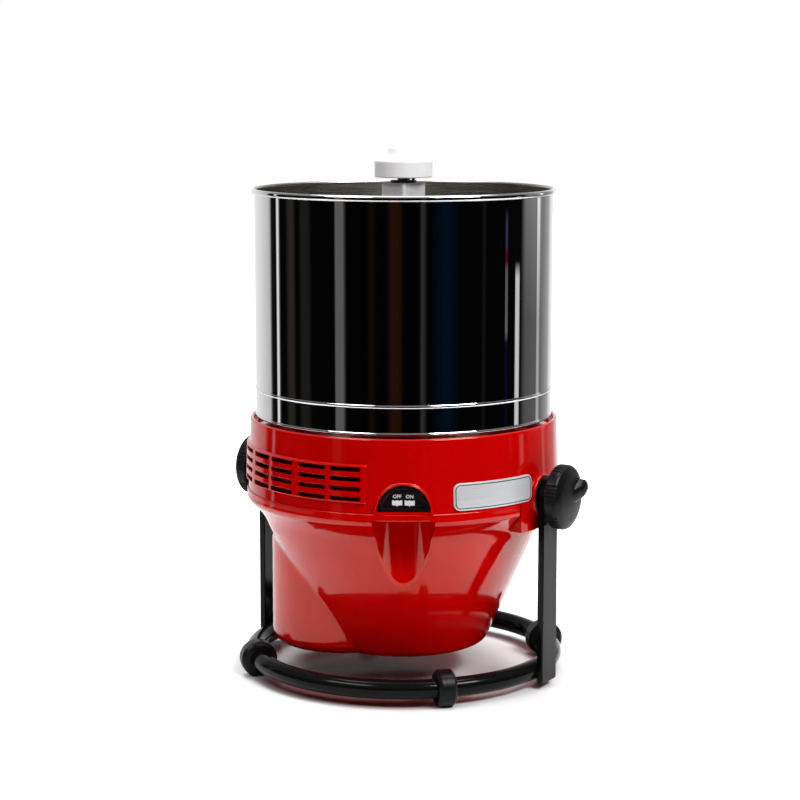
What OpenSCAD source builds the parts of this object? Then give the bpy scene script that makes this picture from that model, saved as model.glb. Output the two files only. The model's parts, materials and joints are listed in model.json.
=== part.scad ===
// Tilting table-top chocolate melanger: steel drum on a moulded housing,
// hung between two flat uprights on a tubular ring base.
// Row frame in millimetres: +Z up, table at z = 0, drum axis on Z, tilt axis along X.

/* [Drum] */
// Outer radius of the drum wall
drum_r = 115; // [110:0.5:120]
// Height of the drum from its hem to its rim
drum_h = 175.5; // [150:0.5:190]
// Thickness of the drum's sheet steel
drum_wall = 1.2; // [0.8:0.1:2]
// Half the width of the rolled rim of the drum
rim_roll = 1.7; // [1.3:0.1:2.2]
// Height of the rolled rim of the drum
rim_h = 4.2; // [4:0.1:8]
// Radius of the rolled hem at the foot of the drum
hem_roll = 1.5; // [1.3:0.1:2]
// Height of the drum floor above the hem's lowest point
floor_rise = 4; // [3.5:0.5:6]
// Height of the swaged bead above the hem's lowest point
bead_rise = 22; // [16:0.5:24]
// How far the swaged bead stands out of the wall
bead_out = 0.4; // [0.3:0.1:1.2]
// Gap between the housing's top edge and the drum's hem
drum_gap = 1.1; // [1:0.1:6]
// Thickness of the granite base stone
stone_t = 22; // [16:1:28]

/* [Rollers] */
// Diameter of a roller stone
roller_d = 84; // [70:1:92]
// Length of a roller stone
roller_len = 60; // [45:1:62]
// Distance from the drum axis to the inner end of a roller stone
roller_start = 30; // [27:1:32]
// Diameter of a roller axle
axle_d = 12; // [10:0.5:14]
// Wall of the plastic bush between an axle and its stone
bush_wall = 4; // [3:0.5:6]
// Side of the square roller holder tube
stem_w = 25; // [24:0.5:28]
// Wall of the square roller holder tube
stem_wall = 2; // [1.5:0.1:2.5]
// Thickness of the cap that closes the holder tube
stem_cap_t = 4; // [3:0.5:6]
// Height of the holder's top above the drum rim
stem_above_rim = 4; // [2:0.5:10]
// Turn of the roller axles about the drum axis, from the tilt axis
holder_turn = -15; // [-45:1:45]

/* [Tension knob] */
// Diameter of the tension knob
tension_d = 44.7; // [36:0.1:48]
// Height of the tension knob's grip disc
tension_h = 14.5; // [12:0.5:18]
// Diameter of the boss on top of the tension knob
tension_boss_d = 23.5; // [22:0.5:30]
// Height of the boss on top of the tension knob
tension_boss_h = 8.5; // [6:0.5:10]
// Edge radius of the tension knob
tension_edge = 3; // [1.5:0.5:4]
// Visible gap between the holder and the tension knob
tension_gap = 4; // [3.5:0.5:5]
// Wire diameter of the tension spring
spring_wire = 1.8; // [1.4:0.1:2]
// Mean radius of the tension spring
spring_r = 8.2; // [7.8:0.1:8.6]
// Number of curls in the tension spring
spring_turns = 3; // [2.5:0.5:3]

/* [Housing] */
// Height of the tilt axis above the table
pivot_z = 149; // [146:1:170]
// Depth of the split line below the tilt axis
seam_drop = 3; // [2:0.5:5]
// Height of the upper housing above the split line
band_h = 55.5; // [50:0.5:70]
// How far the upper housing's top edge stands out past the drum
band_out = 4.5; // [4:0.5:7]
// Flare of the upper housing from its top edge to the split line
band_flare = 2; // [0.5:0.5:3]
// Step from the upper housing out to the lower housing's flange
flange_out = 1; // [0.5:0.5:2]
// Height of the lower housing's flange
flange_h = 8; // [6:0.5:10]
// Height of the shoulder between the flange and the cone
shoulder_h = 11; // [9:0.5:14]
// Radius of the cone where it meets the shoulder
cone_top_r = 111; // [108:0.5:114]
// Height of the lower housing below the split line
lower_h = 124; // [110:1:125]
// Radius of the cone where it would meet the flat bottom
cone_foot_r = 64.6; // [60:0.2:70]
// Wall thickness of the moulded housings
wall = 3; // [2.5:0.1:3.5]
// Radius of the edges round the housing's underside
foot_fillet = 9.5; // [6:0.5:12]
// Radius of the moulded motor bulge
bulge_r = 57; // [54:0.5:60]
// Distance of the motor bulge from the drum axis
bulge_e = 46.5; // [42:0.5:48]
// Bearing of the motor bulge, from the front towards +X
bulge_phi = -59; // [-65:1:-50]
// Depth of the tray under the drum
deck_depth = 9; // [8.5:0.5:12]
// Radius of the finger scoop under the switch
scoop_r = 21.5; // [16:0.5:24]
// Distance of the finger scoop's axis from the drum axis
scoop_e = 114; // [112:0.5:116]
// Bearing of the switch and the finger scoop
switch_phi = 30; // [20:1:40]
// Width of a pivot ear
ear_w = 56; // [50:1:64]
// Depth of a pivot ear below the split line
ear_drop = 22; // [20:1:24]

/* [Vents] */
// How far the louvre panel stands out of the housing
vent_out = 2.2; // [1:0.1:3]
// Bearing of the louvre panel's front end
vent_phi = 16.8; // [14:0.1:18]
// Number of louvre rows
vent_rows = 4; // [2:1:4]
// Number of pairs of louvre columns
vent_pairs = 3; // [1:1:3]
// Spacing of the louvre rows
vent_pitch = 7.3; // [6.5:0.1:7.5]
// Height of a louvre slot
vent_slot_h = 3.6; // [2:0.1:3.8]
// Angle that one louvre slot spans
vent_slot_a = 11.2; // [8:0.2:11.6]
// Width of the plain border above and below the louvre slots
vent_border = 1.3; // [0.8:0.1:2]

/* [Badge and switch] */
// Width of the blank badge
badge_w = 71.8; // [50:0.2:76]
// Height of the blank badge
badge_h = 20.4; // [14:0.2:22]
// Thickness of the blank badge
badge_t = 1.2; // [0.8:0.1:2]
// Bearing of the blank badge's centre
badge_phi = 64.8; // [62:0.1:66]
// Radius of the half-moon switch bezel
switch_r = 19.5; // [17:0.5:21]
// Width of the raised arch round the switch
arch_w = 2; // [1:0.1:3]
// Width of the bezel's border round the rocker
bezel_border = 3; // [2.5:0.1:4]
// Turn of the rocker from its middle to one side
rocker_tilt = 4; // [2:0.5:5]

/* [Stand] */
// Diameter of the base ring's tube
ring_tube_d = 15; // [12:0.5:18]
// Outer diameter of a foot collar
foot_d = 28; // [24:1:30]
// Length of a foot collar along the tube
foot_len = 14; // [10:1:20]
// Depth of the flat under a foot collar
foot_flat = 0.8; // [0.4:0.1:1.5]
// Chamfer at the ends of a foot collar
foot_chamfer = 2; // [0.5:0.5:3]
// Thickness of an upright bar
bar_t = 5; // [4:0.5:8]
// Width of an upright bar
bar_w = 24; // [20:1:30]
// Height of an upright's lower end above the table
bar_bottom_z = 4; // [1:0.5:8]
// Gap between the housing's flange and an upright
bar_gap = 1.5; // [1:0.1:3]
// Depth of the cope in an upright that takes the ring
cope = 1; // [0.5:0.1:2]

/* [Tilt clamps] */
// Diameter of a clamp knob
clamp_d = 49.5; // [42:0.5:56]
// Height of a clamp knob's neck
clamp_neck_h = 4.5; // [3:0.5:9]
// Diameter of a clamp knob's neck
clamp_neck_d = 30; // [24:1:36]
// Thickness of a clamp knob's rim
clamp_t = 10; // [7:0.5:12]
// Radius of the round shoulder between a clamp knob's ribs and its face
clamp_shoulder = 4; // [2:0.5:5]
// Rise of a clamp knob's domed face
clamp_dome = 3; // [1.5:0.5:4]
// Height of the grip's raised end above the domed face
grip_h = 5; // [4:0.5:12]
// Width of the grip
grip_w = 13; // [8:0.5:16]
// Length of the grip's outline across the face
grip_len = 42; // [30:1:44]
// Turn of the groups of ribs round a clamp knob's rim
rib_turn = 19; // [0:1:59]
// Turn of the grip's raised end up from the horizontal
grip_turn = 25; // [0:1:90]
// Outer diameter of a pivot sleeve
sleeve_d = 14; // [12:0.5:18]
// Diameter of a clamp stud
stud_d = 8; // [6:0.5:10]

/* [Drive] */
// Diameter of the fixed centre shaft
shaft_d = 12; // [11:0.5:13]
// Outer diameter of the large pulley
pulley_d = 96; // [84:1:98]
// Outer diameter of the motor pulley
motor_pulley_d = 12; // [11.5:0.5:14]
// Distance between the motor shaft and the drum axis
motor_e = 60; // [59:0.5:62]
// Diameter of the motor can
motor_d = 70; // [60:1:72]
// Height of the motor can
motor_h = 66; // [50:1:72]
// Diameter of the motor shaft
motor_shaft_d = 8; // [6:0.5:9]
// Thickness of the drive belt
belt_t = 2.5; // [2:0.1:3]
// Width of the drive belt
belt_w = 10; // [8:0.5:11]
// Thickness of the steel chassis plate
chassis_t = 3; // [2:0.5:4]

/* [Hidden] */
$fn = 96;

// Clearances
run = 0.05;
free = 0.3;
slip = 1.5;
eps = 0.01;

// Colours
red = [0.75, 0.02, 0.02];
black = [0.05, 0.05, 0.055];
steel = [0.72, 0.73, 0.75];
zinc = [0.58, 0.6, 0.62];
white = [0.94, 0.94, 0.93];
granite = [0.36, 0.36, 0.38];
brass = [0.78, 0.62, 0.3];

// Levels of the housing
seam_z = pivot_z - seam_drop;
top_z = seam_z + band_h;
bottom_z = seam_z - lower_h;
shoulder_z = seam_z - flange_h;
cone_top_z = shoulder_z - shoulder_h;
deck_z = top_z - deck_depth;
deck_t = wall;

// Radii of the housing
band_top_r = drum_r + band_out;
band_foot_r = band_top_r + band_flare;
flange_r = band_foot_r + flange_out;
band_edge = wall / 2;

// Cone of the lower housing
cone_slope = (cone_top_r - cone_foot_r) / (cone_top_z - bottom_z);
cone_a = atan(cone_slope);

// Stand
bar_in = max(flange_r, cone_top_r) + bar_gap;
bar_out = bar_in + bar_t;
ring_r = bar_in + cope - ring_tube_d / 2;
ring_z = foot_d / 2 - foot_flat;

// Pivot ears
ear_z = seam_z - ear_drop;
ear_depth = 14.5;
ear_in = band_foot_r - ear_depth;
ear_up = 20;
pad_r = sleeve_d / 2 + 9;
washer_t = 1;
pad_x = bar_in - washer_t - run;
sleeve_in = ear_in - 7;
sleeve_out = bar_out - free;
clamp_washer_t = 1;
clamp_x = bar_out + run + clamp_washer_t;
stud_in = clamp_neck_h + 4;

// Chassis inside the housing
chassis_z = cone_top_z + 2;
chassis_top = chassis_z + chassis_t;
chassis_in = 6;
chassis_r = min(cone_top_r, band_foot_r) - wall - chassis_in;
ledge_w = 7;
ledge_h = 5;
tab_w = 40;
tab_t = 4;
tab_h = pivot_z - chassis_z + 14;
chassis_screw_n = 5;
chassis_screw_in = 3.5;
chassis_screw_r = chassis_r - chassis_screw_in;

// Belt drive
belt_gap = 1;
drive_z = chassis_top + 5;
pulley_h = belt_w + 2 * belt_gap + 2;
bearing_r = shaft_d / 2 + 8;
bearing_h = 10;
hub_wall = 3;
hub_r = bearing_r + hub_wall;
hub_flange_r = 42;
hem_z = top_z + drum_gap;
drum_floor_z = hem_z + floor_rise;
hub_flange_t = 7;
hub_top = drum_floor_z;
upper_bearing_z = hub_top - hub_flange_t - bearing_h;
shaft_foot_l = 12;
shaft_flange_w = 12;
shaft_flange_t = 2;
shaft_seat_w = 3;
nut_h = 9;
nut_w = 5;
motor_phi = bulge_phi;
can_wall = 2;
motor_top = chassis_z;
motor_foot = motor_top - motor_h;
pin_n = 3;
pin_r = 4;
pin_pcd = 56;

// Screws
screw_r = 1.5;
screw_hole_r = screw_r + 2 * run;
screw_head_r = 2.8;
screw_head_h = 2;
motor_screw_in = 11;
motor_screw_e = motor_d / 2 - motor_screw_in;

// Motor fan and capacitor
fan_gap = 2;
fan_h = 8;
fan_disc_t = 1.5;
fan_blade_t = 1.6;
fan_blade_n = 8;
fan_hub_r = motor_shaft_d / 2 + 4;
fan_r = motor_d / 2 - 8;
capacitor_r = 16;
capacitor_h = 56;
capacitor_e = 52;

// Drum and rollers
hem_out = 0.5;
bead_in = 0.3;
stone_z = drum_floor_z + drum_wall;
stone_top = stone_z + stone_t;
rim_z = hem_z + drum_h;
tube_bore = shaft_d / 2 + 1;
tube_r = tube_bore + 1.5;
tube_top = rim_z - 27;
roller_z = stone_top + roller_d / 2 + free;
stem_top = rim_z + stem_above_rim;
stem_foot = roller_z - axle_d / 2 - 10;
axle_r = axle_d / 2;
bush_r = axle_r + run + bush_wall;
roller_end = roller_start + roller_len;
axle_cap_t = 6;
axle_cap_r = bush_r + 3;

// Tension screw
thread_r = shaft_d / 2 - 1;
flat_w = shaft_d - 2;
knob_z = stem_top + tension_gap;
spring_washer_t = 1.5;
spring_z = stem_top + spring_washer_t;
pocket_r = spring_r + spring_wire / 2 + 1.6;
pocket_h = tension_h - 2;
spring_h = knob_z + pocket_h - free - spring_z;
insert_r = thread_r + 3;
insert_z = knob_z + pocket_h;
insert_h = tension_boss_h - 1.5;
shaft_top = insert_z + insert_h - 0.5;

// Switch, seen along its bearing
switch_x = band_top_r + 0.3;
switch_rise = 2;
switch_z = seam_z + switch_rise;
badge_rise = 11.8;
bezel_t = 5;
rocker_r = switch_r - bezel_border;
rocker_t = 3;
pin_hole_r = 1.2;

// Points of an arc about (cx, cy), from angle a0 to a1, in n steps
function arc(cx, cy, r, a0, a1, n) = [
  for (i = [0:n])
    let (a = a0 + (a1 - a0) * i / n)
    [cx + r * cos(a), cy + r * sin(a)]
];

// Outer radius of the upper housing at a height
function band_r(z) = band_foot_r - band_flare * (z - seam_z) / band_h;

// Outline of the lower housing drawn in by t all round, from the axis to the top
function lower_outline(t) =
  let (
    foot_z = bottom_z + t,
    foot_r = cone_foot_r - t / cos(cone_a) + t * cone_slope,
    fillet = max(foot_fillet - t, 1),
    run_in = fillet * tan((90 - cone_a) / 2),
    top_r = cone_top_r - t / cos(cone_a),
    flange = flange_r - t
  )
  concat(
    [[0, foot_z]],
    arc(foot_r - run_in, foot_z + fillet, fillet, -90, -cone_a, 8),
    [[top_r, cone_top_z], [flange, shoulder_z], [flange, seam_z], [0, seam_z]]
  );

// Turns its children so that their +X points along a bearing from the front
module toward(phi) {
  rotate([0, 0, phi - 90])
    children();
}

// Repeats its children mirrored to the left when side is -1
module on_side(side) {
  if (side > 0) children();
  else mirror([1, 0, 0]) children();
}

// Solid disc or rod along X from x0 to x1
module rod_x(r, x0, x1) {
  translate([x0, 0, 0])
    rotate([0, 90, 0])
      cylinder(r = r, h = x1 - x0);
}

// Ring about Z with inner radius r0 and outer radius r1
module ring(r0, r1, z0, h) {
  translate([0, 0, z0])
    difference() {
      cylinder(r = r1, h = h);
      translate([0, 0, -1])
        cylinder(r = r0, h = h + 2);
    }
}

// Rectangle centred on the origin with true round corners
module round_rect(w, h, r) {
  square([w - 2 * r, h], center = true);
  square([w, h - 2 * r], center = true);
  for (x = [-1, 1], y = [-1, 1])
    translate([x * (w / 2 - r), y * (h / 2 - r)])
      circle(r = r);
}

// Tube of the base ring, grown by t
module ring_tube(t) {
  translate([0, 0, ring_z])
    rotate_extrude()
      translate([ring_r, 0])
        circle(r = ring_tube_d / 2 + t);
}

module base_ring() {
  color(black)
    ring_tube(0);
}

// Flat bar coped to the ring, with a round top about the tilt axis
module upright(side) {
  color(black)
    on_side(side)
      difference() {
        union() {
          translate([bar_in, -bar_w / 2, bar_bottom_z])
            cube([bar_t, bar_w, pivot_z - bar_bottom_z]);
          translate([0, 0, pivot_z])
            rod_x(bar_w / 2, bar_in, bar_out);
        }
        translate([0, 0, pivot_z])
          rod_x(sleeve_d / 2 + run, bar_in - 1, bar_out + 1);
        ring_tube(run);
      }
}

// Chamfered collar clamped round the ring's tube, with a flat to stand on
module foot(phi) {
  half = foot_len / 2;
  full = foot_d / 2;
  color(black)
    difference() {
      toward(phi)
        translate([ring_r, 0, ring_z])
          rotate([90, 0, 0])
            rotate_extrude()
              polygon([
                [0, -half], [full - foot_chamfer, -half], [full, -half + foot_chamfer],
                [full, half - foot_chamfer], [full - foot_chamfer, half], [0, half]
              ]);
      ring_tube(run);
      translate([-ring_r * 2, -ring_r * 2, -foot_d])
        cube([ring_r * 4, ring_r * 4, foot_d]);
    }
}

// One louvre slot: a sloping cut through the wall, spanning an angle
module louvre(phi, z) {
  in_r = band_top_r - wall - 2;
  out_r = band_foot_r + vent_out + 2;
  fall = 2;
  rotate([0, 0, phi - vent_slot_a - 90])
    rotate_extrude(angle = vent_slot_a)
      polygon([
        [in_r, z + fall], [out_r, z - fall / 2],
        [out_r, z + vent_slot_h - fall / 2], [in_r, z + vent_slot_h + fall]
      ]);
}

// Louvre panel laid out from its front end backwards
vent_bar_a = 2;
vent_gap_a = 3.2;
vent_edge_a = 1.9;
vent_pair_a = 2 * vent_slot_a + vent_bar_a;
vent_span = 2 * vent_edge_a + vent_pairs * vent_pair_a + (vent_pairs - 1) * vent_gap_a;
vent_foot_z = seam_z + 9.3;
vent_panel_h = (vent_rows - 1) * vent_pitch + vent_slot_h;

module louvre_panel() {
  low = vent_foot_z - vent_border;
  high = vent_foot_z + vent_panel_h + vent_border;
  rotate([0, 0, vent_phi - vent_span - 90])
    rotate_extrude(angle = vent_span)
      polygon([
        [band_top_r - wall, low],
        [band_r(low) + vent_out, low],
        [band_r(high) + vent_out, high],
        [band_top_r - wall, high]
      ]);
}

module louvre_cuts() {
  for (pair = [0:vent_pairs - 1], side = [0, 1], row = [0:vent_rows - 1])
    louvre(
      vent_phi - vent_edge_a - pair * (vent_pair_a + vent_gap_a) - side * (vent_slot_a + vent_bar_a),
      vent_foot_z + row * vent_pitch
    );
}

// Half-moon prism along the switch's bearing, standing on the line z = foot
module half_moon(r, x0, x1, foot) {
  intersection() {
    translate([0, 0, switch_z])
      rod_x(r, x0, x1);
    translate([x0 - 1, -r - 1, foot])
      cube([x1 - x0 + 2, 2 * r + 2, 2 * r + 2]);
  }
}

// Block that carries a pivot sleeve, grown by t
module ear_block(t) {
  for (side = [0, 1])
    mirror([side, 0, 0])
      translate([ear_in - t, -ear_w / 2 - t, ear_z - t])
        cube([band_foot_r, ear_w + 2 * t, ear_drop + ear_up + 2 * t]);
}

module upper_housing() {
  color(red)
    difference() {
      union() {
        // Flared wall with a rounded top edge
        rotate_extrude()
          polygon(concat(
            [[band_foot_r - wall, seam_z], [band_foot_r, seam_z]],
            arc(band_top_r - band_edge, top_z - band_edge, band_edge, 0, 90, 6),
            [[band_top_r - wall, top_z]]
          ));
        // Tray under the drum, with a collar round the hub
        ring(hub_r + slip, band_top_r - wall + 0.5, deck_z, deck_t);
        ring(hub_r + slip, hub_r + slip + wall, deck_z, deck_t + 2);
        louvre_panel();
        // Pivot ears that reach down over the lower housing
        intersection() {
          ear_block(0);
          rotate_extrude()
            polygon([
              [0, ear_z], [band_foot_r, ear_z], [band_foot_r, seam_z],
              [band_top_r, top_z - band_edge], [0, top_z - band_edge]
            ]);
        }
        for (side = [0, 1])
          mirror([side, 0, 0])
            translate([0, 0, pivot_z])
              rod_x(pad_r, ear_in, pad_x);
        // Raised arch round the switch
        toward(switch_phi)
          half_moon(switch_r + arch_w, switch_x - bezel_t, switch_x + 2, seam_z);
      }
      toward(switch_phi)
        half_moon(switch_r, switch_x - bezel_t - 10, switch_x + 10, switch_z);
      for (side = [0, 1])
        mirror([side, 0, 0])
          translate([0, 0, pivot_z])
            rod_x(sleeve_d / 2 + run, ear_in - 1, bar_in);
      louvre_cuts();
    }
}

// Wall of the motor bulge, drawn in by t
module bulge(t) {
  fillet = max(foot_fillet - t, 1);
  r = bulge_r - t;
  toward(bulge_phi)
    translate([bulge_e, 0, 0])
      rotate_extrude()
        polygon(concat(
          [[0, bottom_z + t]],
          arc(r - fillet, bottom_z + t + fillet, fillet, -90, 0, 8),
          [[r, cone_top_z - 1 - t], [0, cone_top_z - 1 - t]]
        ));
}

// Trough for the fingers under the switch, grown by t
module scoop(t) {
  toward(switch_phi)
    translate([scoop_e, 0, bottom_z - 1])
      cylinder(r = scoop_r + t, h = seam_z - 5 - bottom_z + 1 + t);
}

gland_r = 7;
gland_drop = 55;
gland_z = seam_z - gland_drop;

// Places its children on the cone's back, with +Z square to the wall
module on_back_wall() {
  toward(switch_phi + 180)
    translate([cone_foot_r + (gland_z - bottom_z) * cone_slope, 0, gland_z])
      rotate([0, 90 + cone_a, 0])
        children();
}

module lower_housing() {
  color(red)
    difference() {
      union() {
        difference() {
          union() {
            rotate_extrude()
              polygon(lower_outline(0));
            bulge(0);
          }
          union() {
            rotate_extrude()
              polygon(lower_outline(wall));
            bulge(wall);
          }
          translate([0, 0, seam_z - 1])
            cylinder(r = flange_r - wall, h = 2);
        }
        // Wall behind the finger scoop
        intersection() {
          rotate_extrude()
            polygon(lower_outline(0));
          scoop(wall);
        }
        // Ledge that carries the chassis
        intersection() {
          ring(chassis_r - ledge_w, cone_top_r, chassis_z - ledge_h, ledge_h);
          rotate_extrude()
            polygon(lower_outline(wall / 2));
        }
      }
      scoop(0);
      ear_block(run);
      on_motor()
        translate([0, 0, chassis_z - ledge_h - 1])
          cylinder(r = motor_d / 2 + free, h = ledge_h + 2);
      chassis_screw_set(screw_hole_r, chassis_z - ledge_h - 1, ledge_h + 2);
      on_back_wall()
        translate([0, 0, -3 * wall])
          cylinder(r = gland_r + run, h = 6 * wall);
    }
}

module badge_plate() {
  mid_z = seam_z + badge_rise;
  skin = run;
  color(steel)
    difference() {
      intersection() {
        toward(badge_phi)
          translate([band_top_r - 10, 0, mid_z])
            rotate([90, 0, 90])
              linear_extrude(20)
                round_rect(badge_w, badge_h, badge_h / 4);
        rotate_extrude()
          polygon([
            [band_foot_r + skin, seam_z], [band_foot_r + skin + badge_t, seam_z],
            [band_top_r + skin + badge_t, top_z], [band_top_r + skin, top_z]
          ]);
      }
      translate([0, 0, pivot_z])
        rod_x(pad_r + run, 0, bar_out);
    }
}

module switch_bezel() {
  color(black)
    toward(switch_phi)
      difference() {
        half_moon(switch_r - run, switch_x - bezel_t, switch_x, switch_z + run);
        half_moon(rocker_r, switch_x - bezel_t - 1, switch_x + 1, switch_z + bezel_border);
        translate([switch_x - rocker_t / 2, 0, switch_z + 0.8])
          cylinder(r = pin_hole_r + run, h = switch_r - 2);
      }
}

// Half-moon key that rocks on an upright pin
module switch_rocker() {
  gap = 0.5;
  foot = switch_z + bezel_border;
  color(black)
    toward(switch_phi)
      translate([switch_x - rocker_t / 2, 0, 0])
        rotate([0, 0, -rocker_tilt])
          union() {
            translate([-switch_x + rocker_t / 2, 0, 0])
              half_moon(rocker_r - gap, switch_x - rocker_t, switch_x, foot + gap);
            translate([0, 0, switch_z + 1])
              cylinder(r = pin_hole_r, h = rocker_r + 0.5);
          }
}

module switch_case() {
  depth = 20;
  color([0.12, 0.12, 0.12])
    toward(switch_phi)
      translate([switch_x - bezel_t - depth, -rocker_r + 2, switch_z])
        cube([depth, 2 * rocker_r - 4, rocker_r - 2]);
}

// Row of screw holes or shanks round the chassis, clear of the scoop and the motor
module chassis_screw_set(r, z, h) {
  for (i = [0:chassis_screw_n - 1])
    toward((switch_phi + motor_phi) / 2 + 360 * i / chassis_screw_n)
      translate([chassis_screw_r, 0, z])
        cylinder(r = r, h = h);
}

module chassis_plate() {
  color(zinc)
    difference() {
      union() {
        translate([0, 0, chassis_z])
          cylinder(r = chassis_r, h = chassis_t);
        for (side = [0, 1])
          mirror([side, 0, 0]) {
            translate([chassis_r - 20, -tab_w / 2, chassis_z])
              cube([ear_in - run - chassis_r + 20, tab_w, chassis_t]);
            translate([ear_in - run - tab_t, -tab_w / 2, chassis_z])
              cube([tab_t, tab_w, tab_h]);
          }
      }
      for (side = [0, 1])
        mirror([side, 0, 0])
          translate([0, 0, pivot_z])
            rod_x(sleeve_d / 2 + run, sleeve_in - 1, ear_in + 1);
      translate([0, 0, chassis_z - 1])
        cylinder(r = shaft_d / 2 + run, h = chassis_t + 2);
      toward(motor_phi)
        translate([motor_e, 0, chassis_z - 1])
          cylinder(r = motor_shaft_d / 2 + slip, h = chassis_t + 2);
      chassis_screw_set(screw_hole_r, chassis_z - 1, chassis_t + 2);
      motor_screw_set(screw_hole_r, chassis_z - 1, chassis_t + 2);
      scoop(wall + free);
      ear_block(run / 2);
    }
}

module pivot_sleeve(side) {
  color(steel)
    on_side(side)
      translate([0, 0, pivot_z])
        difference() {
          rod_x(sleeve_d / 2, sleeve_in, sleeve_out);
          rod_x(stud_d / 2 + run, sleeve_in - 1, sleeve_out + 1);
        }
}

module friction_washer(side) {
  color([0.2, 0.18, 0.15])
    on_side(side)
      translate([0, 0, pivot_z])
        difference() {
          rod_x(pad_r - 1, pad_x, pad_x + washer_t);
          rod_x(sleeve_d / 2 + run, pad_x - 1, pad_x + washer_t + 1);
        }
}

module clamp_washer(side) {
  color(steel)
    on_side(side)
      translate([0, 0, pivot_z])
        difference() {
          rod_x(bar_w / 2, bar_out + run, clamp_x);
          rod_x(stud_d / 2 + run, bar_out, clamp_x + 1);
        }
}

// Round clamp knob on a neck: groups of ribs round its rim, a domed face and a grip that rises to one end
module clamp_knob(side) {
  r = clamp_d / 2;
  groups = 6;
  ribs = 6;
  rib_pitch = 7;
  rib_r = 1.1;
  edge = 2;
  grip_edge = 2;
  rim_top = clamp_neck_h + clamp_t;
  face = rim_top + clamp_dome;
  tip = face + grip_h;
  dome_r = (r * r + clamp_dome * clamp_dome) / (2 * clamp_dome);
  color(black)
    on_side(side)
      translate([clamp_x, 0, pivot_z])
        rotate([0, 90, 0])
          difference() {
            union() {
              cylinder(r = clamp_neck_d / 2, h = rim_top - edge);
              intersection() {
                linear_extrude(face)
                  difference() {
                    circle(r = r);
                    for (g = [0:groups - 1], i = [0:ribs - 1])
                      rotate(rib_turn + 360 * g / groups + (i - (ribs - 1) / 2) * rib_pitch)
                        translate([r, 0])
                          circle(r = rib_r, $fn = 16);
                  }
                translate([0, 0, face - dome_r])
                  sphere(r = dome_r);
                rotate_extrude()
                  polygon(concat(
                    [[0, clamp_neck_h], [r - edge / 2, clamp_neck_h], [r + eps, clamp_neck_h + edge / 2]],
                    arc(r + eps - clamp_shoulder, rim_top - clamp_shoulder, clamp_shoulder, 0, 60, 6),
                    [[r - 2 * clamp_shoulder, face], [0, face]]
                  ));
              }
              // Grip that grows out of the face towards its raised end
              rotate([0, 0, 90 + grip_turn])
                intersection() {
                  linear_extrude(tip)
                    round_rect(grip_len, grip_w, grip_w / 2 - eps);
                  translate([0, grip_w, 0])
                    rotate([90, 0, 0])
                      linear_extrude(2 * grip_w)
                        polygon([
                          [-grip_len, clamp_neck_h + edge], [grip_len, clamp_neck_h + edge],
                          [grip_len / 2, tip - grip_edge], [grip_len / 2 - grip_edge, tip],
                          [grip_len / 4, tip], [-grip_len / 6, rim_top]
                        ]);
                }
            }
            translate([0, 0, -1])
              cylinder(r = stud_d / 2 + run, h = stud_in + 1.5);
          }
}

module clamp_stud(side) {
  color(steel)
    on_side(side)
      translate([0, 0, pivot_z])
        rod_x(stud_d / 2, sleeve_in, clamp_x + stud_in);
}

// Four screw holes or shanks round the motor shaft
module motor_screw_set(r, z, h) {
  toward(motor_phi)
    translate([motor_e, 0, 0])
      for (i = [0:3])
        rotate([0, 0, 45 + 90 * i])
          translate([motor_screw_e, 0, z])
            cylinder(r = r, h = h);
}

// Places its children on the motor's axis
module on_motor() {
  toward(motor_phi)
    translate([motor_e, 0, 0])
      children();
}

module motor_can() {
  r = motor_d / 2;
  color(zinc)
    difference() {
      on_motor()
        difference() {
          translate([0, 0, motor_foot])
            cylinder(r = r, h = motor_h);
          translate([0, 0, motor_foot + can_wall])
            cylinder(r = r - can_wall, h = motor_h - 4 * can_wall);
          translate([0, 0, motor_foot - 1])
            cylinder(r = motor_shaft_d / 2 + run, h = motor_h + 2);
        }
      motor_screw_set(screw_hole_r, motor_top - 3 * can_wall, 3 * can_wall + 1);
    }
}

stator_gap = 12;
stator_t = 12;
stator_z = motor_foot + can_wall + stator_gap;
stator_h = motor_h - 4 * can_wall - 2 * stator_gap;
rotor_r = motor_d / 2 - can_wall - stator_t;
rotor_shaft_out = 14;

module motor_stator() {
  color([0.45, 0.3, 0.2])
    on_motor()
      ring(rotor_r + 0.5, motor_d / 2 - can_wall - run, stator_z, stator_h);
}

module motor_rotor() {
  shaft_foot = motor_foot - rotor_shaft_out;
  color(steel)
    on_motor()
      union() {
        translate([0, 0, shaft_foot])
          cylinder(r = motor_shaft_d / 2, h = drive_z + pulley_h - shaft_foot);
        translate([0, 0, stator_z])
          cylinder(r = rotor_r, h = stator_h);
      }
}

// Cooling fan with flat blades under the motor
module motor_fan() {
  root = motor_shaft_d / 2 + 2;
  color(black)
    on_motor()
      translate([0, 0, motor_foot - fan_gap - fan_h])
        difference() {
          union() {
            cylinder(r = fan_hub_r, h = fan_h);
            cylinder(r = fan_r, h = fan_disc_t);
            for (i = [0:fan_blade_n - 1])
              rotate([0, 0, 360 * (i + 0.5) / fan_blade_n])
                translate([root, -fan_blade_t / 2, fan_disc_t / 2])
                  cube([fan_r - root - 1, fan_blade_t, fan_h - fan_disc_t]);
          }
          translate([0, 0, -1])
            cylinder(r = motor_shaft_d / 2 + run, h = fan_h + 2);
        }
}

// Flanged pulley about Z with a flat face for the belt
module pulley(face_r, bore_r, flange) {
  difference() {
    union() {
      cylinder(r = face_r, h = pulley_h);
      cylinder(r = face_r + flange, h = 1);
      translate([0, 0, pulley_h - 1])
        cylinder(r = face_r + flange, h = 1);
    }
    translate([0, 0, -1])
      cylinder(r = bore_r, h = pulley_h + 2);
  }
}

module motor_pulley() {
  color(zinc)
    on_motor()
      translate([0, 0, drive_z])
        pulley(motor_pulley_d / 2, motor_shaft_d / 2 + run, 1);
}

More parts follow.
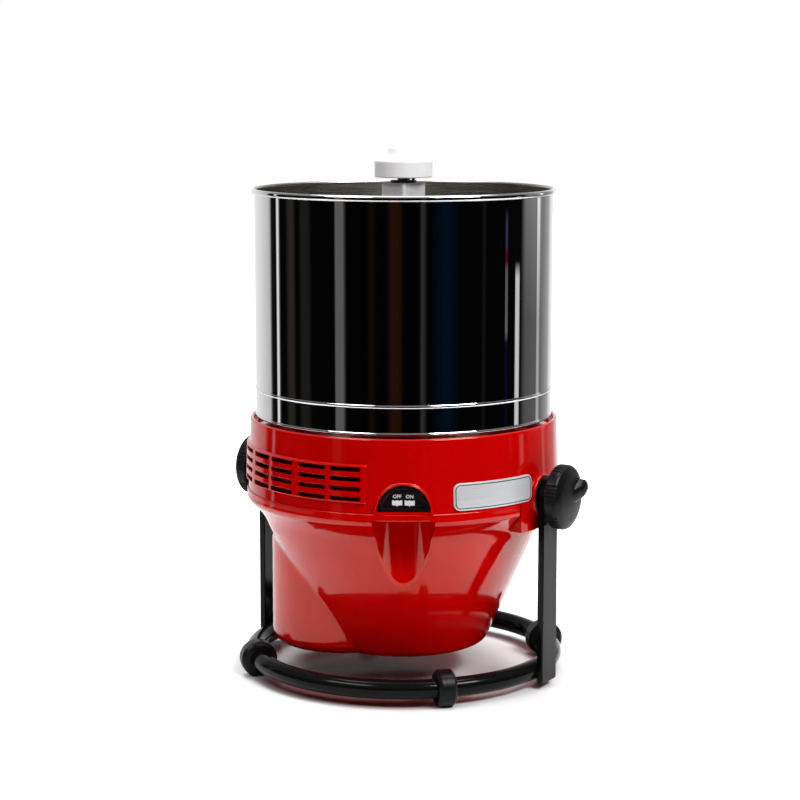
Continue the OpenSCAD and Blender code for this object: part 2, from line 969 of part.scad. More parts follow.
module motor_screws() {
  color(steel) {
    motor_screw_set(screw_r, motor_top - can_wall * 2, can_wall * 2 + chassis_t);
    motor_screw_set(screw_head_r, chassis_top, screw_head_h);
  }
}

module run_capacitor() {
  color([0.85, 0.85, 0.87])
    toward(bulge_phi + 170)
      translate([capacitor_e, 0, chassis_z - capacitor_h])
        cylinder(r = capacitor_r, h = capacitor_h);
}

// Outline of the belt's inner or outer side, drawn round both pulleys
module belt_outline(t) {
  hull() {
    circle(r = pulley_d / 2 + t);
    translate([motor_e, 0])
      circle(r = motor_pulley_d / 2 + t);
  }
}

module drive_belt() {
  color([0.08, 0.08, 0.08])
    toward(motor_phi)
      translate([0, 0, drive_z + 1 + belt_gap])
        linear_extrude(belt_w)
          difference() {
            belt_outline(free + belt_t);
            belt_outline(free);
          }
}

// Large pulley with a thin web and round lightening holes
module large_pulley() {
  web = 4;
  rim = 6;
  hole = 9;
  face_r = pulley_d / 2;
  mid_r = (hub_r + face_r - rim) / 2;
  color(zinc)
    translate([0, 0, drive_z])
      difference() {
        pulley(face_r, hub_r + run, 1);
        translate([0, 0, web])
          ring(hub_r + 4, face_r - rim, 0, pulley_h);
        for (i = [0:5])
          rotate([0, 0, 60 * i])
            translate([mid_r, 0, -1])
              cylinder(r = hole, h = pulley_h);
      }
}

// Sleeve on two bearings, with the flange that carries the drum
module drive_hub() {
  color(steel)
    difference() {
      union() {
        translate([0, 0, drive_z])
          cylinder(r = hub_r, h = hub_top - drive_z);
        translate([0, 0, hub_top - hub_flange_t])
          cylinder(r = hub_flange_r, h = hub_flange_t);
      }
      translate([0, 0, drive_z - 1])
        cylinder(r = bearing_r, h = bearing_h + 1);
      translate([0, 0, drive_z])
        cylinder(r = bearing_r - 2, h = upper_bearing_z - drive_z + 1);
      translate([0, 0, upper_bearing_z])
        cylinder(r = bearing_r, h = hub_top - upper_bearing_z + 1);
      drive_pin_set(pin_r + run, hub_top - hub_flange_t - 1, hub_flange_t + 2);
    }
}

module bearing(z) {
  color(steel)
    ring(shaft_d / 2 + run, bearing_r - run, z, bearing_h);
}

// Pins that carry the hub's turn to the drum floor
module drive_pin_set(r, z, h) {
  for (i = [0:pin_n - 1])
    rotate([0, 0, 360 * i / pin_n])
      translate([pin_pcd / 2, 0, z])
        cylinder(r = r, h = h);
}

module drive_pins() {
  color(steel)
    drive_pin_set(pin_r, hub_top - hub_flange_t, hub_flange_t + drum_wall);
}

// Fixed shaft: threaded foot, flange, bearing seat, two flats and a threaded top
module centre_shaft() {
  r = shaft_d / 2;
  flange = r + shaft_flange_w;
  seat = r + shaft_seat_w;
  foot = chassis_z - shaft_foot_l;
  flat_z = stem_top - stem_cap_t - 1;
  color(steel)
    difference() {
      rotate_extrude()
        polygon([
          [0, foot], [r, foot], [r, chassis_top], [flange, chassis_top],
          [flange, chassis_top + shaft_flange_t], [seat, chassis_top + shaft_flange_t], [seat, drive_z - free],
          [r, drive_z - free], [r, stem_top - run], [thread_r, stem_top - run],
          [thread_r, shaft_top], [0, shaft_top]
        ]);
      for (side = [0, 180])
        rotate([0, 0, holder_turn + side])
          translate([flat_w / 2, -shaft_d, flat_z])
            cube([shaft_d, 2 * shaft_d, stem_cap_t + 2]);
    }
}

module shaft_nut() {
  color(steel)
    translate([0, 0, chassis_z - nut_h])
      difference() {
        cylinder(r = shaft_d / 2 + nut_w, h = nut_h, $fn = 6);
        translate([0, 0, -1])
          cylinder(r = shaft_d / 2 + run, h = nut_h + 2);
      }
}

module chassis_screws() {
  color(steel) {
    chassis_screw_set(screw_r, chassis_z - ledge_h, ledge_h + chassis_t);
    chassis_screw_set(screw_head_r, chassis_top, screw_head_h);
  }
}

module cord_gland() {
  color(black)
    on_back_wall()
      difference() {
        union() {
          translate([0, 0, -2 * wall])
            cylinder(r = gland_r, h = 2 * wall + 1);
          translate([0, 0, 0.4])
            cylinder(r = gland_r + 3, h = 3);
          translate([0, 0, 3])
            cylinder(r1 = gland_r, r2 = gland_r - 1.5, h = 3);
        }
        translate([0, 0, -3 * wall])
          cylinder(r = 3.5, h = 6 * wall);
      }
}

// Spun drum wall: rolled rim, swaged bead and rolled hem
module drum_shell() {
  in_r = drum_r - drum_wall;
  color(steel)
    rotate_extrude()
      union() {
        translate([in_r, hem_z + hem_roll])
          square([drum_wall, drum_h - hem_roll - rim_roll]);
        for (z = [rim_z - rim_h + rim_roll, rim_z - rim_roll])
          translate([in_r + rim_roll, z])
            circle(r = rim_roll, $fn = 32);
        translate([in_r, rim_z - rim_h + rim_roll])
          square([2 * rim_roll, rim_h - 2 * rim_roll]);
        translate([drum_r - hem_roll + hem_out, hem_z + hem_roll])
          circle(r = hem_roll, $fn = 32);
        translate([in_r - bead_in, hem_z + bead_rise])
          intersection() {
            circle(r = drum_wall + bead_in + bead_out, $fn = 32);
            translate([bead_in, -drum_wall * 4])
              square([drum_wall * 4, drum_wall * 8]);
          }
      }
}

// Floor disc welded into the drum, with holes for the drive pins
module drum_floor() {
  color(steel)
    difference() {
      ring(tube_r + run, drum_r - drum_wall - run, drum_floor_z, drum_wall);
      drive_pin_set(pin_r + run, drum_floor_z - 1, drum_wall + 2);
    }
}

module drum_tube() {
  color(steel)
    ring(tube_bore, tube_r, drum_floor_z, tube_top - drum_floor_z);
}

module base_stone() {
  chamfer = 2;
  out_r = drum_r - drum_wall - free;
  in_r = tube_r + free;
  color(granite)
    rotate_extrude()
      polygon([
        [in_r, stone_z], [out_r, stone_z], [out_r, stone_top - chamfer],
        [out_r - chamfer, stone_top], [in_r, stone_top]
      ]);
}

// Square tube that hangs on the shaft, closed by a cap with two flats
module roller_holder() {
  corner = 2.5;
  inner = stem_w - 2 * stem_wall;
  color(steel)
    rotate([0, 0, holder_turn])
      difference() {
        translate([0, 0, stem_foot])
          linear_extrude(stem_top - stem_foot)
            round_rect(stem_w, stem_w, corner);
        translate([0, 0, stem_foot - 1])
          linear_extrude(stem_top - stem_cap_t - stem_foot + 1)
            round_rect(inner, inner, corner - stem_wall + 0.5);
        intersection() {
          translate([0, 0, stem_top - stem_cap_t - 1])
            cylinder(r = shaft_d / 2 + run, h = stem_cap_t + 2);
          translate([-flat_w / 2 - run, -shaft_d, stem_top - stem_cap_t - 2])
            cube([flat_w + 2 * run, 2 * shaft_d, stem_cap_t + 4]);
        }
      }
}

// Places its children on a roller axis, with +X pointing out from the stem
module on_roller(side) {
  rotate([0, 0, holder_turn + (side > 0 ? 0 : 180)])
    translate([0, 0, roller_z])
      children();
}

module axle(side) {
  color(steel)
    on_roller(side)
      union() {
        rod_x(axle_r, stem_w / 2, roller_end + free + axle_cap_t);
        rod_x(axle_r + 3, stem_w / 2, roller_start - free);
      }
}

module axle_cap(side) {
  color(white)
    on_roller(side)
      difference() {
        rod_x(axle_cap_r, roller_end + free, roller_end + free + axle_cap_t);
        rod_x(axle_r + run, roller_end, roller_end + axle_cap_t + 1);
      }
}

// Granite cylinder with chamfered ends
module roller_stone(side) {
  r = roller_d / 2;
  chamfer = 2.5;
  color(granite)
    on_roller(side)
      translate([roller_start, 0, 0])
        rotate([0, 90, 0])
          rotate_extrude()
            polygon([
              [bush_r + run, 0], [r - chamfer, 0], [r, chamfer],
              [r, roller_len - chamfer], [r - chamfer, roller_len], [bush_r + run, roller_len]
            ]);
}

module roller_bush(side) {
  color(white)
    on_roller(side)
      difference() {
        rod_x(bush_r, roller_start, roller_end);
        rod_x(axle_r + run, roller_start - 1, roller_end + 1);
      }
}

module spring_washer() {
  color(steel)
    ring(thread_r + free, spring_r + spring_wire / 2 + 1, stem_top, spring_washer_t);
}

// Centreline of the spring: a straight end, the helix and a straight end
spring_steps = 8;
spring_rise = spring_h - 2 * spring_wire;
spring_rings = ceil(spring_turns * spring_steps);
spring_path = concat(
  [[spring_r, 0, 0]],
  [
    for (i = [0:spring_rings])
      let (s = i / spring_rings)
      [
        spring_r * cos(360 * spring_turns * s),
        spring_r * sin(360 * spring_turns * s),
        spring_wire + spring_rise * s
      ]
  ],
  [[
    spring_r * cos(360 * spring_turns),
    spring_r * sin(360 * spring_turns),
    spring_h
  ]]
);

function unit(v) = v / norm(v);

// One ring of the spring's skin: square to Z at both ends, square to the wire between
function spring_ring(i) =
  let (
    last = len(spring_path) - 1,
    p = spring_path[i],
    out = unit([p[0], p[1], 0]),
    along = (i == 0 || i == last)
      ? [0, 0, 1]
      : unit(spring_path[min(i + 1, last)] - spring_path[max(i - 1, 0)]),
    side = unit(cross(along, out)),
    up = cross(side, along)
  )
  [for (k = [0:5]) p + spring_wire / 2 * (cos(60 * k) * up + sin(60 * k) * side)];

module tension_spring() {
  n = len(spring_path);
  skin = [for (i = [0:n - 1]) each spring_ring(i)];
  sides = [
    for (i = [0:n - 2], k = [0:5])
      let (
        a = 6 * i + k,
        b = 6 * i + (k + 1) % 6
      )
      each [[a, b, b + 6], [a, b + 6, a + 6]]
  ];
  ends = [
    for (k = [1:4])
      each [[0, k + 1, k], [6 * n - 6, 6 * n - 6 + k, 6 * n - 6 + k + 1]]
  ];
  color(zinc)
    translate([0, 0, spring_z])
      polyhedron(points = skin, faces = concat(sides, ends));
}

// Least gap between one curl of the spring and the next
spring_gap = min([
  for (i = [1:len(spring_path) - 2], j = [i + 5:1:len(spring_path) - 2])
    norm(spring_path[i] - spring_path[j])
]) - spring_wire;
echo(spring_gap = spring_gap);

// White knob with a rounded grip disc, a top boss and a pocket for the spring
module tension_knob() {
  r = tension_d / 2;
  boss = tension_boss_d / 2;
  lip = 2;
  color(white)
    difference() {
      translate([0, 0, knob_z])
        rotate_extrude()
          polygon(concat(
            [[0, 0], [r - 1, 0], [r, 1]],
            arc(r - tension_edge, tension_h - tension_edge, tension_edge, 0, 90, 6),
            [[boss, tension_h]],
            arc(boss - lip, tension_h + tension_boss_h - lip, lip, 0, 90, 4),
            [[0, tension_h + tension_boss_h]]
          ));
      translate([0, 0, knob_z - 1])
        cylinder(r = pocket_r, h = pocket_h + 1);
      translate([0, 0, insert_z - 1])
        cylinder(r = insert_r + run, h = insert_h + 1);
    }
}

module knob_insert() {
  color(brass)
    ring(thread_r + run, insert_r, insert_z, insert_h);
}

base_ring();
upright(-1);  // left_upright
upright(1);  // right_upright
foot(-45);  // front_left_foot
foot(45);  // front_right_foot
foot(-135);  // rear_left_foot
foot(135);  // rear_right_foot
upper_housing();
lower_housing();
badge_plate();
switch_bezel();
switch_rocker();
switch_case();
chassis_plate();
pivot_sleeve(-1);  // left_pivot_sleeve
pivot_sleeve(1);  // right_pivot_sleeve
friction_washer(-1);  // left_friction_washer
friction_washer(1);  // right_friction_washer
clamp_knob(-1);  // left_clamp_knob
clamp_knob(1);  // right_clamp_knob
clamp_stud(-1);  // left_clamp_stud
clamp_stud(1);  // right_clamp_stud
clamp_washer(-1);  // left_clamp_washer
clamp_washer(1);  // right_clamp_washer
motor_can();
motor_stator();
motor_rotor();
motor_fan();
motor_pulley();
motor_screws();
run_capacitor();
drive_belt();
large_pulley();
drive_hub();
bearing(drive_z);  // lower_bearing
bearing(upper_bearing_z);  // upper_bearing
drive_pins();
centre_shaft();
shaft_nut();
chassis_screws();
cord_gland();
drum_shell();
drum_floor();
drum_tube();
base_stone();
roller_holder();
axle(-1);  // left_axle
axle(1);  // right_axle
axle_cap(-1);  // left_axle_cap
axle_cap(1);  // right_axle_cap
roller_stone(-1);  // left_roller_stone
roller_stone(1);  // right_roller_stone
roller_bush(-1);  // left_roller_bush
roller_bush(1);  // right_roller_bush
spring_washer();
tension_spring();
tension_knob();
knob_insert();
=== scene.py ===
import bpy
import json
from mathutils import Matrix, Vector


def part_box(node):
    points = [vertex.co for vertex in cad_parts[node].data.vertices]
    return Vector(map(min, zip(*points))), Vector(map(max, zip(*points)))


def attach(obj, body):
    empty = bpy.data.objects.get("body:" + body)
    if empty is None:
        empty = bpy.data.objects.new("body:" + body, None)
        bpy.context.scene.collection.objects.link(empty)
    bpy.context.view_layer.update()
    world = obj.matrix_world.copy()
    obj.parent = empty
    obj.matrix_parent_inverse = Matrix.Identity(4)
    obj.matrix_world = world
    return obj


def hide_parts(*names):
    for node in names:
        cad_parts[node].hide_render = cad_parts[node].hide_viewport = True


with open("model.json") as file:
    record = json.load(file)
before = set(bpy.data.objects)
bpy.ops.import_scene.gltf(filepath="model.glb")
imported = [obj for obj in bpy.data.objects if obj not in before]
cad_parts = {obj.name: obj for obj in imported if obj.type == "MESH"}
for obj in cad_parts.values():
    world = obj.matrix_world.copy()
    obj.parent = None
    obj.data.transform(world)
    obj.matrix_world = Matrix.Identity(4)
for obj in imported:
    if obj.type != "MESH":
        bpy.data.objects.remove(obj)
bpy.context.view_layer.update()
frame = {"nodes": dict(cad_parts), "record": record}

import json
import math

import bmesh
import bpy
import numpy as np

bl_info = {
    "name": "Tilting Melanger",
    "version": (1, 0, 0),
    "blender": (4, 5, 0),
    "location": "View3D > Sidebar > Melanger",
    "description": "Moulded, spun and cast surfaces for a tilting table-top melanger",
    "category": "Object",
}


def middle_z(node):
    """Height of the middle of a node's box."""
    low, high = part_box(node)
    return (low.z + high.z) / 2


RECORD = frame["record"]
NODE_BODY = {
    node: body for body, members in RECORD["behaviour"]["bodies"].items() for node in members
}
NODE_SLOT = {part["node"]: part["material_slot"] for part in RECORD["subparts"]}
DRUM_LOW, DRUM_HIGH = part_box("drum_shell")
KNOB_LOW, KNOB_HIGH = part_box("tension_knob")
BAR_LOW, BAR_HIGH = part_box("right_upright")
RING_LOW, RING_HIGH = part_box("base_ring")
RING_TUBE = RING_HIGH.z - RING_LOW.z
CLAMP_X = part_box("right_clamp_knob")[0].x
TILT_Z = middle_z("right_pivot_sleeve")
SIDES = (("left", -1), ("right", 1))
MM = 0.001


def length(label, text, default):
    """A length in metres."""
    return bpy.props.FloatProperty(
        name=label, description=text, default=default, unit="LENGTH", precision=4
    )


def bearing(label, text, degrees):
    """An angle, set in degrees."""
    return bpy.props.FloatProperty(
        name=label, description=text, default=math.radians(degrees), subtype="ANGLE"
    )


def colour(label, text, rgb):
    """A linear colour."""
    return bpy.props.FloatVectorProperty(
        name=label, description=text, default=rgb, subtype="COLOR", size=3, min=0.0, max=1.0
    )


def number(label, text, default):
    """A plain number."""
    return bpy.props.FloatProperty(name=label, description=text, default=default)


class DrumSizes(bpy.types.PropertyGroup):
    """Sizes of the spun drum."""

    wall: length("Wall radius", "Outer radius of the drum wall", 0.115)
    sheet: length("Sheet", "Thickness of the sheet steel", 0.0012)
    foot_z: length("Foot", "Height of the rolled hem above the table", DRUM_LOW.z)
    rim_z: length("Rim", "Height of the rolled rim above the table", DRUM_HIGH.z)
    rim_r: length("Rim radius", "Outer radius of the rolled rim", DRUM_HIGH.x)
    rim_h: length("Rim height", "Height of the rolled rim", 0.0042)
    hem: length("Hem", "Radius of the rolled hem", 0.0015)
    bead_z: length("Bead", "Height of the swaged bead above the hem", 0.022)
    bead: length("Bead swell", "How far the bead stands out of the wall", 0.0004)
    wave: length("Wave", "Depth of the long waves left in the wall by spinning", 0.00003)


class HousingSizes(bpy.types.PropertyGroup):
    """Sizes of the moulded housing."""

    seam_z: length("Split line", "Height of the split line above the table", 0.146)
    top_z: length("Top edge", "Height of the upper housing's top edge", 0.2015)
    top_r: length("Top radius", "Radius of the upper housing's top edge", 0.1195)
    foot_r: length("Seam radius", "Radius of the upper housing at the split line", 0.1215)
    flange_r: length("Flange radius", "Radius of the lower housing's flange", 0.1225)
    wall: length("Wall", "Thickness of the moulded walls", 0.003)
    bottom_z: length("Underside", "Height of the housing's underside", 0.022)
    shoulder_z: length("Shoulder", "Height where the shoulder meets the flange", 0.138)
    cone_z: length("Cone top", "Height where the cone meets the shoulder", 0.127)
    cone_r: length("Cone radius", "Radius of the cone's top", 0.111)
    cone_foot: length("Cone foot", "Radius where the cone would meet the underside", 0.0646)
    fillet: length("Underside fillet", "Radius round the edge of the underside", 0.0095)
    bulge_r: length("Bulge radius", "Radius of the motor bulge", 0.057)
    bulge_e: length("Bulge offset", "Distance of the motor bulge from the axis", 0.0465)
    bulge_phi: bearing("Bulge bearing", "Bearing of the motor bulge from the front", -59)
    scoop_r: length("Scoop radius", "Radius of the finger scoop", 0.0215)
    scoop_e: length("Scoop offset", "Distance of the scoop's axis from the drum axis", 0.114)
    switch_phi: bearing("Switch bearing", "Bearing of the switch from the front", 30)
    ear_half: length("Ear half width", "Half the width of a pivot ear", 0.028)
    ear_in: length("Ear inner face", "Distance of a pivot ear's inner face from the axis", 0.107)
    ear_z: length("Ear foot", "Height of a pivot ear's lower end", 0.124)
    ear_top: length("Ear top", "Height of a pivot ear's upper end", 0.166)
    deck_z: length("Tray", "Height of the tray under the drum", 0.1925)
    vent_out: length("Louvre panel", "How far the louvre panel stands out", 0.0022)
    vent_phi: bearing("Louvre bearing", "Bearing of the louvre panel's front end", 16.8)
    vent_z: length("Louvre foot", "Height of the lowest louvre slot", 0.1553)
    vent_pitch: length("Louvre pitch", "Spacing of the louvre rows", 0.0073)
    vent_slot: length("Slot height", "Height of a louvre slot", 0.0036)
    vent_border: length("Slot border", "Plain border above and below the slots", 0.0013)


class SwitchSizes(bpy.types.PropertyGroup):
    """Sizes of the half-moon switch and the blank badge."""

    face: length("Face", "Distance of the switch face from the axis", 0.1198)
    foot_z: length("Foot", "Height of the switch's flat lower edge", 0.148)
    radius: length("Radius", "Radius of the half-moon", 0.0195)
    arch: length("Arch", "Width of the raised arch round the switch", 0.002)
    border: length("Border", "Width of the bezel round the rocker", 0.003)
    tilt: bearing("Rocker turn", "Turn of the rocker to one side", -4)
    badge_w: length("Badge width", "Width of the blank badge", 0.0718)
    badge_h: length("Badge height", "Height of the blank badge", 0.0204)
    badge_z: length("Badge middle", "Height of the blank badge's middle", 0.1578)
    badge_phi: bearing("Badge bearing", "Bearing of the blank badge from the front", 64.8)


class StandSizes(bpy.types.PropertyGroup):
    """Sizes of the stand and its clamp knobs."""

    tube: length("Tube", "Diameter of the base ring's tube", RING_TUBE)
    ring_r: length("Ring", "Radius of the base ring's centreline", RING_HIGH.x - RING_TUBE / 2)
    ring_z: length("Ring height", "Height of the base ring's centreline", middle_z("base_ring"))
    foot_d: length("Foot", "Diameter of a foot collar", 0.028)
    foot_l: length("Foot length", "Length of a foot collar along the tube", 0.014)
    bar_w: length("Bar width", "Width of an upright", BAR_HIGH.y - BAR_LOW.y)
    bar_edge: length("Bar edge", "Radius of an upright's edges", 0.0009)
    clamp_d: length("Knob", "Diameter of a clamp knob", 0.0495)
    neck_h: length("Knob neck", "Height of a clamp knob's neck", 0.0045)
    neck_d: length("Knob neck width", "Diameter of a clamp knob's neck", 0.03)
    clamp_t: length("Knob rim", "Thickness of a clamp knob's rim", 0.010)
    shoulder: length("Knob shoulder", "Radius between a clamp knob's ribs and its face", 0.004)
    dome: length("Knob dome", "Rise of a clamp knob's face", 0.003)
    rib_turn: bearing("Rib turn", "Turn of the groups of ribs round a clamp knob's rim", -11)
    rib: length("Rib depth", "Depth of the grooves between the ribs", 0.001)
    grip_h: length("Grip height", "Height of the grip's raised end above the face", 0.005)
    grip_w: length("Grip width", "Width of the grip", 0.013)
    grip_l: length("Grip length", "Length of the grip", 0.042)
    grip_turn: bearing("Grip turn", "Turn of the grip's raised end up from the horizontal", 25)


class RollerSizes(bpy.types.PropertyGroup):
    """Sizes of the stones, their holder and the tension knob."""

    turn: bearing("Holder turn", "Turn of the roller axles about the drum axis", -15)
    axis_z: length("Axle height", "Height of the roller axles", middle_z("left_axle"))
    stone_r: length("Roller radius", "Radius of a roller stone", 0.042)
    stone_in: length("Roller start", "Distance of a roller's inner end from the axis", 0.03)
    stone_l: length("Roller length", "Length of a roller stone", 0.06)
    bore: length("Roller bore", "Radius of a roller stone's bore", 0.0101)
    stem: length("Stem", "Side of the square holder", 0.025)
    stem_wall: length("Stem wall", "Wall of the square holder", 0.002)
    knob_r: length("Tension knob", "Radius of the tension knob", KNOB_HIGH.x)
    knob_z: length("Tension knob foot", "Height of the tension knob's underside", KNOB_LOW.z)
    knob_top: length("Tension knob top", "Height of the tension knob's boss", KNOB_HIGH.z)
    disc_h: length("Grip disc", "Height of the tension knob's grip disc", 0.0145)
    boss_r: length("Boss", "Radius of the tension knob's boss", 0.01175)
    spring_r: length("Spring", "Mean radius of the tension spring", 0.0082)
    spring_wire: length("Spring wire", "Diameter of the spring wire", 0.0018)
    spring_turns: number("Spring curls", "Number of curls in the tension spring", 3.0)


class FinishColours(bpy.types.PropertyGroup):
    """Colours of the finishes."""

    red: colour("Red", "Glossy red moulding", (0.56, 0.0005, 0.0004))
    paint: colour("Paint", "Black paint of the stand", (0.003, 0.0032, 0.0036))
    black: colour("Black", "Black moulded plastic", (0.003, 0.0031, 0.0038))
    steel: colour("Steel", "Polished steel", (0.70, 0.70, 0.71))
    white: colour("White", "White plastic", (0.95, 0.95, 0.96))
    granite: colour("Granite", "Grey granite", (0.23, 0.23, 0.24))


class StudioSettings(bpy.types.PropertyGroup):
    """Camera and lights."""

    turn: bearing("Camera bearing", "Bearing of the camera from the front", 30)
    reach: length("Camera reach", "Level distance from the drum axis to the camera", 1.653)
    height: length("Camera height", "Height of the camera above the table", 0.4665)
    pitch: bearing("Camera pitch", "How far the camera looks down", 8.74)
    lens: number("Lens", "Focal length in millimetres on a 36 mm sensor", 96.21)
    shift: number("Shift", "Sideways shift of the picture", -0.0044)
    key: number("Key light", "Power of the light on the right, in watts", 42.0)
    fill: number("Fill light", "Power of the light on the left, in watts", 15.0)
    top: number("Top light", "Power of the overhead light, in watts", 42.0)
    ambient: number("Ambient", "Level of the even light from above", 0.25)


class MelangerSettings(bpy.types.PropertyGroup):
    """All settings of the melanger."""

    drum: bpy.props.PointerProperty(type=DrumSizes, name="Drum")
    housing: bpy.props.PointerProperty(type=HousingSizes, name="Housing")
    switch: bpy.props.PointerProperty(type=SwitchSizes, name="Switch and badge")
    stand: bpy.props.PointerProperty(type=StandSizes, name="Stand")
    rollers: bpy.props.PointerProperty(type=RollerSizes, name="Rollers")
    colours: bpy.props.PointerProperty(type=FinishColours, name="Colours")
    studio: bpy.props.PointerProperty(type=StudioSettings, name="Studio")


def arc(cx, cy, r, start, stop, steps):
    """Points on a circle: its centre plus r times the cosine and sine of angles in degrees."""
    a = np.radians(np.linspace(start, stop, steps + 1))
    return np.stack([cx + r * np.cos(a), cy + r * np.sin(a)], -1)


def polar(phi, r, z):
    """Points at bearing phi from the front: x is r sin phi, y is minus r cos phi."""
    phi, r, z = np.broadcast_arrays(phi, r, z)
    return np.stack([r * np.sin(phi), -r * np.cos(phi), z], -1)


def full_turn(columns):
    """Even angles round one turn, as a column."""
    return np.linspace(0, 2 * np.pi, columns, endpoint=False)[:, None]


def revolve(profile, columns=256):
    """Profile of radii and heights carried round the upright axis."""
    profile = np.asarray(profile, float)
    return polar(full_turn(columns), profile[None, :, 0], profile[None, :, 1])


def revolve_x(profile, columns=128, sign=1.0, height=0.0):
    """Profile of radii and distances carried round an axis along X at a height."""
    profile = np.asarray(profile, float)
    a = full_turn(columns)
    r, x = profile[None, :, 0], profile[None, :, 1]
    return np.stack(np.broadcast_arrays(sign * x, r * np.cos(a), height + r * np.sin(a)), -1)


def smooth_max(a, b, k):
    """The larger of a and b, with a round blend k wide where they meet."""
    h = np.clip(0.5 + 0.5 * (a - b) / k, 0, 1)
    return b + (a - b) * h + k * h * (1 - h) / 2


def smooth_min(a, b, k):
    """The smaller of a and b, with a round blend k wide where they meet."""
    return -smooth_max(-a, -b, k)


def ramp(x, edge, width):
    """Rises from 0 to 1 over a width centred on an edge, with level ends."""
    t = np.clip((x - edge) / width + 0.5, 0, 1)
    return t * t * (3 - 2 * t)


def inside_of(x, low, high, width):
    """1 between two edges and 0 outside them, with soft steps of a width."""
    return ramp(x, low, width) * ramp(-x, -high, width)


def round_rect(w, h, r, steps=10, side=0):
    """Closed outline of a rectangle: four quarter circles joined by straight sides of points."""
    x, y = w / 2 - r, h / 2 - r
    bends = [
        arc(cx, cy, r, start, start + 90, steps)
        for cx, cy, start in ((x, y, 0), (-x, y, 90), (-x, -y, 180), (x, -y, 270))
    ]
    sides = [np.linspace(bends[k][-1], bends[(k + 1) % 4][0], side + 2)[1:-1] for k in range(4)]
    return np.concatenate([part for pair in zip(bends, sides) for part in pair])


def half_moon(r, foot, steps=60):
    """Closed outline of a disc of radius r cut level at a height foot, from its right end round."""
    start = math.degrees(math.asin(foot / r))
    bow = arc(0, 0, r, start, 180 - start, steps)
    base = np.linspace(bow[-1], bow[0], steps // 2 + 2)[1:-1]
    return np.concatenate([bow, base])


def bearings(spots, least):
    """Grid columns in radians from lists of degrees: wrapped, sorted and a least step apart."""
    every = np.unique(np.round((np.concatenate(spots) + 180) % 360 - 180, 4))
    return np.radians(every[np.concatenate([[True], np.diff(every) > least])])


def ear_edges(h, steps):
    """Bearings in degrees of close steps at both edges of both pivot ears."""
    edge = math.degrees(math.asin(h.ear_half / h.foot_r))
    return np.array([s * 90 + t * (edge + k) for s in (-1, 1) for t in (-1, 1) for k in steps])


def band_radius(h, z):
    """Radius of the upper housing's flared band, which runs evenly from its foot to its top."""
    return h.foot_r + (h.top_r - h.foot_r) * (z - h.seam_z) / (h.top_z - h.seam_z)


def skin(name, grid, around=True, along=False, uv=None, row_finish=None, poles=True):
    """Mesh over a grid of points: quads between neighbours, joined up where the grid wraps, with
    poles merged and faces outward."""
    n, m = grid.shape[:2]
    i, j = np.meshgrid(
        np.arange(n if around else n - 1), np.arange(m if along else m - 1), indexing="ij"
    )
    corners = [(i, j), (i + 1, j), (i + 1, j + 1), (i, j + 1)]
    faces = np.stack([(a % n) * m + b % m for a, b in corners], -1).reshape(-1, 4)
    points = grid.reshape(-1, 3)
    p = points[faces]
    fan = np.cross(p[:, 1], p[:, 2]) + np.cross(p[:, 2], p[:, 3])
    volume = np.einsum("ij,ij->", p[:, 0], fan)
    turn = slice(None, None, -1 if volume < 0 else 1)
    mesh = bpy.data.meshes.new(name)
    mesh.from_pydata(points.tolist(), [], faces[:, turn].tolist())
    if uv is not None:
        laid = np.stack([uv[a, b] for a, b in corners], 2).reshape(-1, 4, 2)[:, turn]
        layer = mesh.uv_layers.new(name="UVMap")
        layer.data.foreach_set("uv", laid.astype(np.float32).ravel())
    if row_finish is not None:
        finishes = np.asarray(row_finish)[j.ravel()].astype(np.int32)
        mesh.polygons.foreach_set("material_index", finishes)
    mesh.polygons.foreach_set("use_smooth", np.ones(len(mesh.polygons), bool))
    if poles:
        work = bmesh.new()
        work.from_mesh(mesh)
        bmesh.ops.remove_doubles(work, verts=work.verts, dist=1e-7)
        work.to_mesh(mesh)
        work.free()
    mesh.update()
    return mesh


def piece(mesh, finishes, node=None, body=None, slot=None, sharp=None):
    """Puts a mesh into the scene as a piece that rides on a body and, where a node is named,
    stands for it."""
    obj = bpy.data.objects.new(mesh.name, mesh)
    bpy.context.scene.collection.objects.link(obj)
    for name in finishes.split():
        mesh.materials.append(finish(name))
    if sharp is not None:
        mesh.set_sharp_from_angle(angle=math.radians(sharp))
    even = obj.modifiers.new("Even faces", "WEIGHTED_NORMAL")
    even.keep_sharp = sharp is not None
    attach(obj, body or NODE_BODY[node])
    slot or NODE_SLOT[node]
    if node:
        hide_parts(node)
    return obj


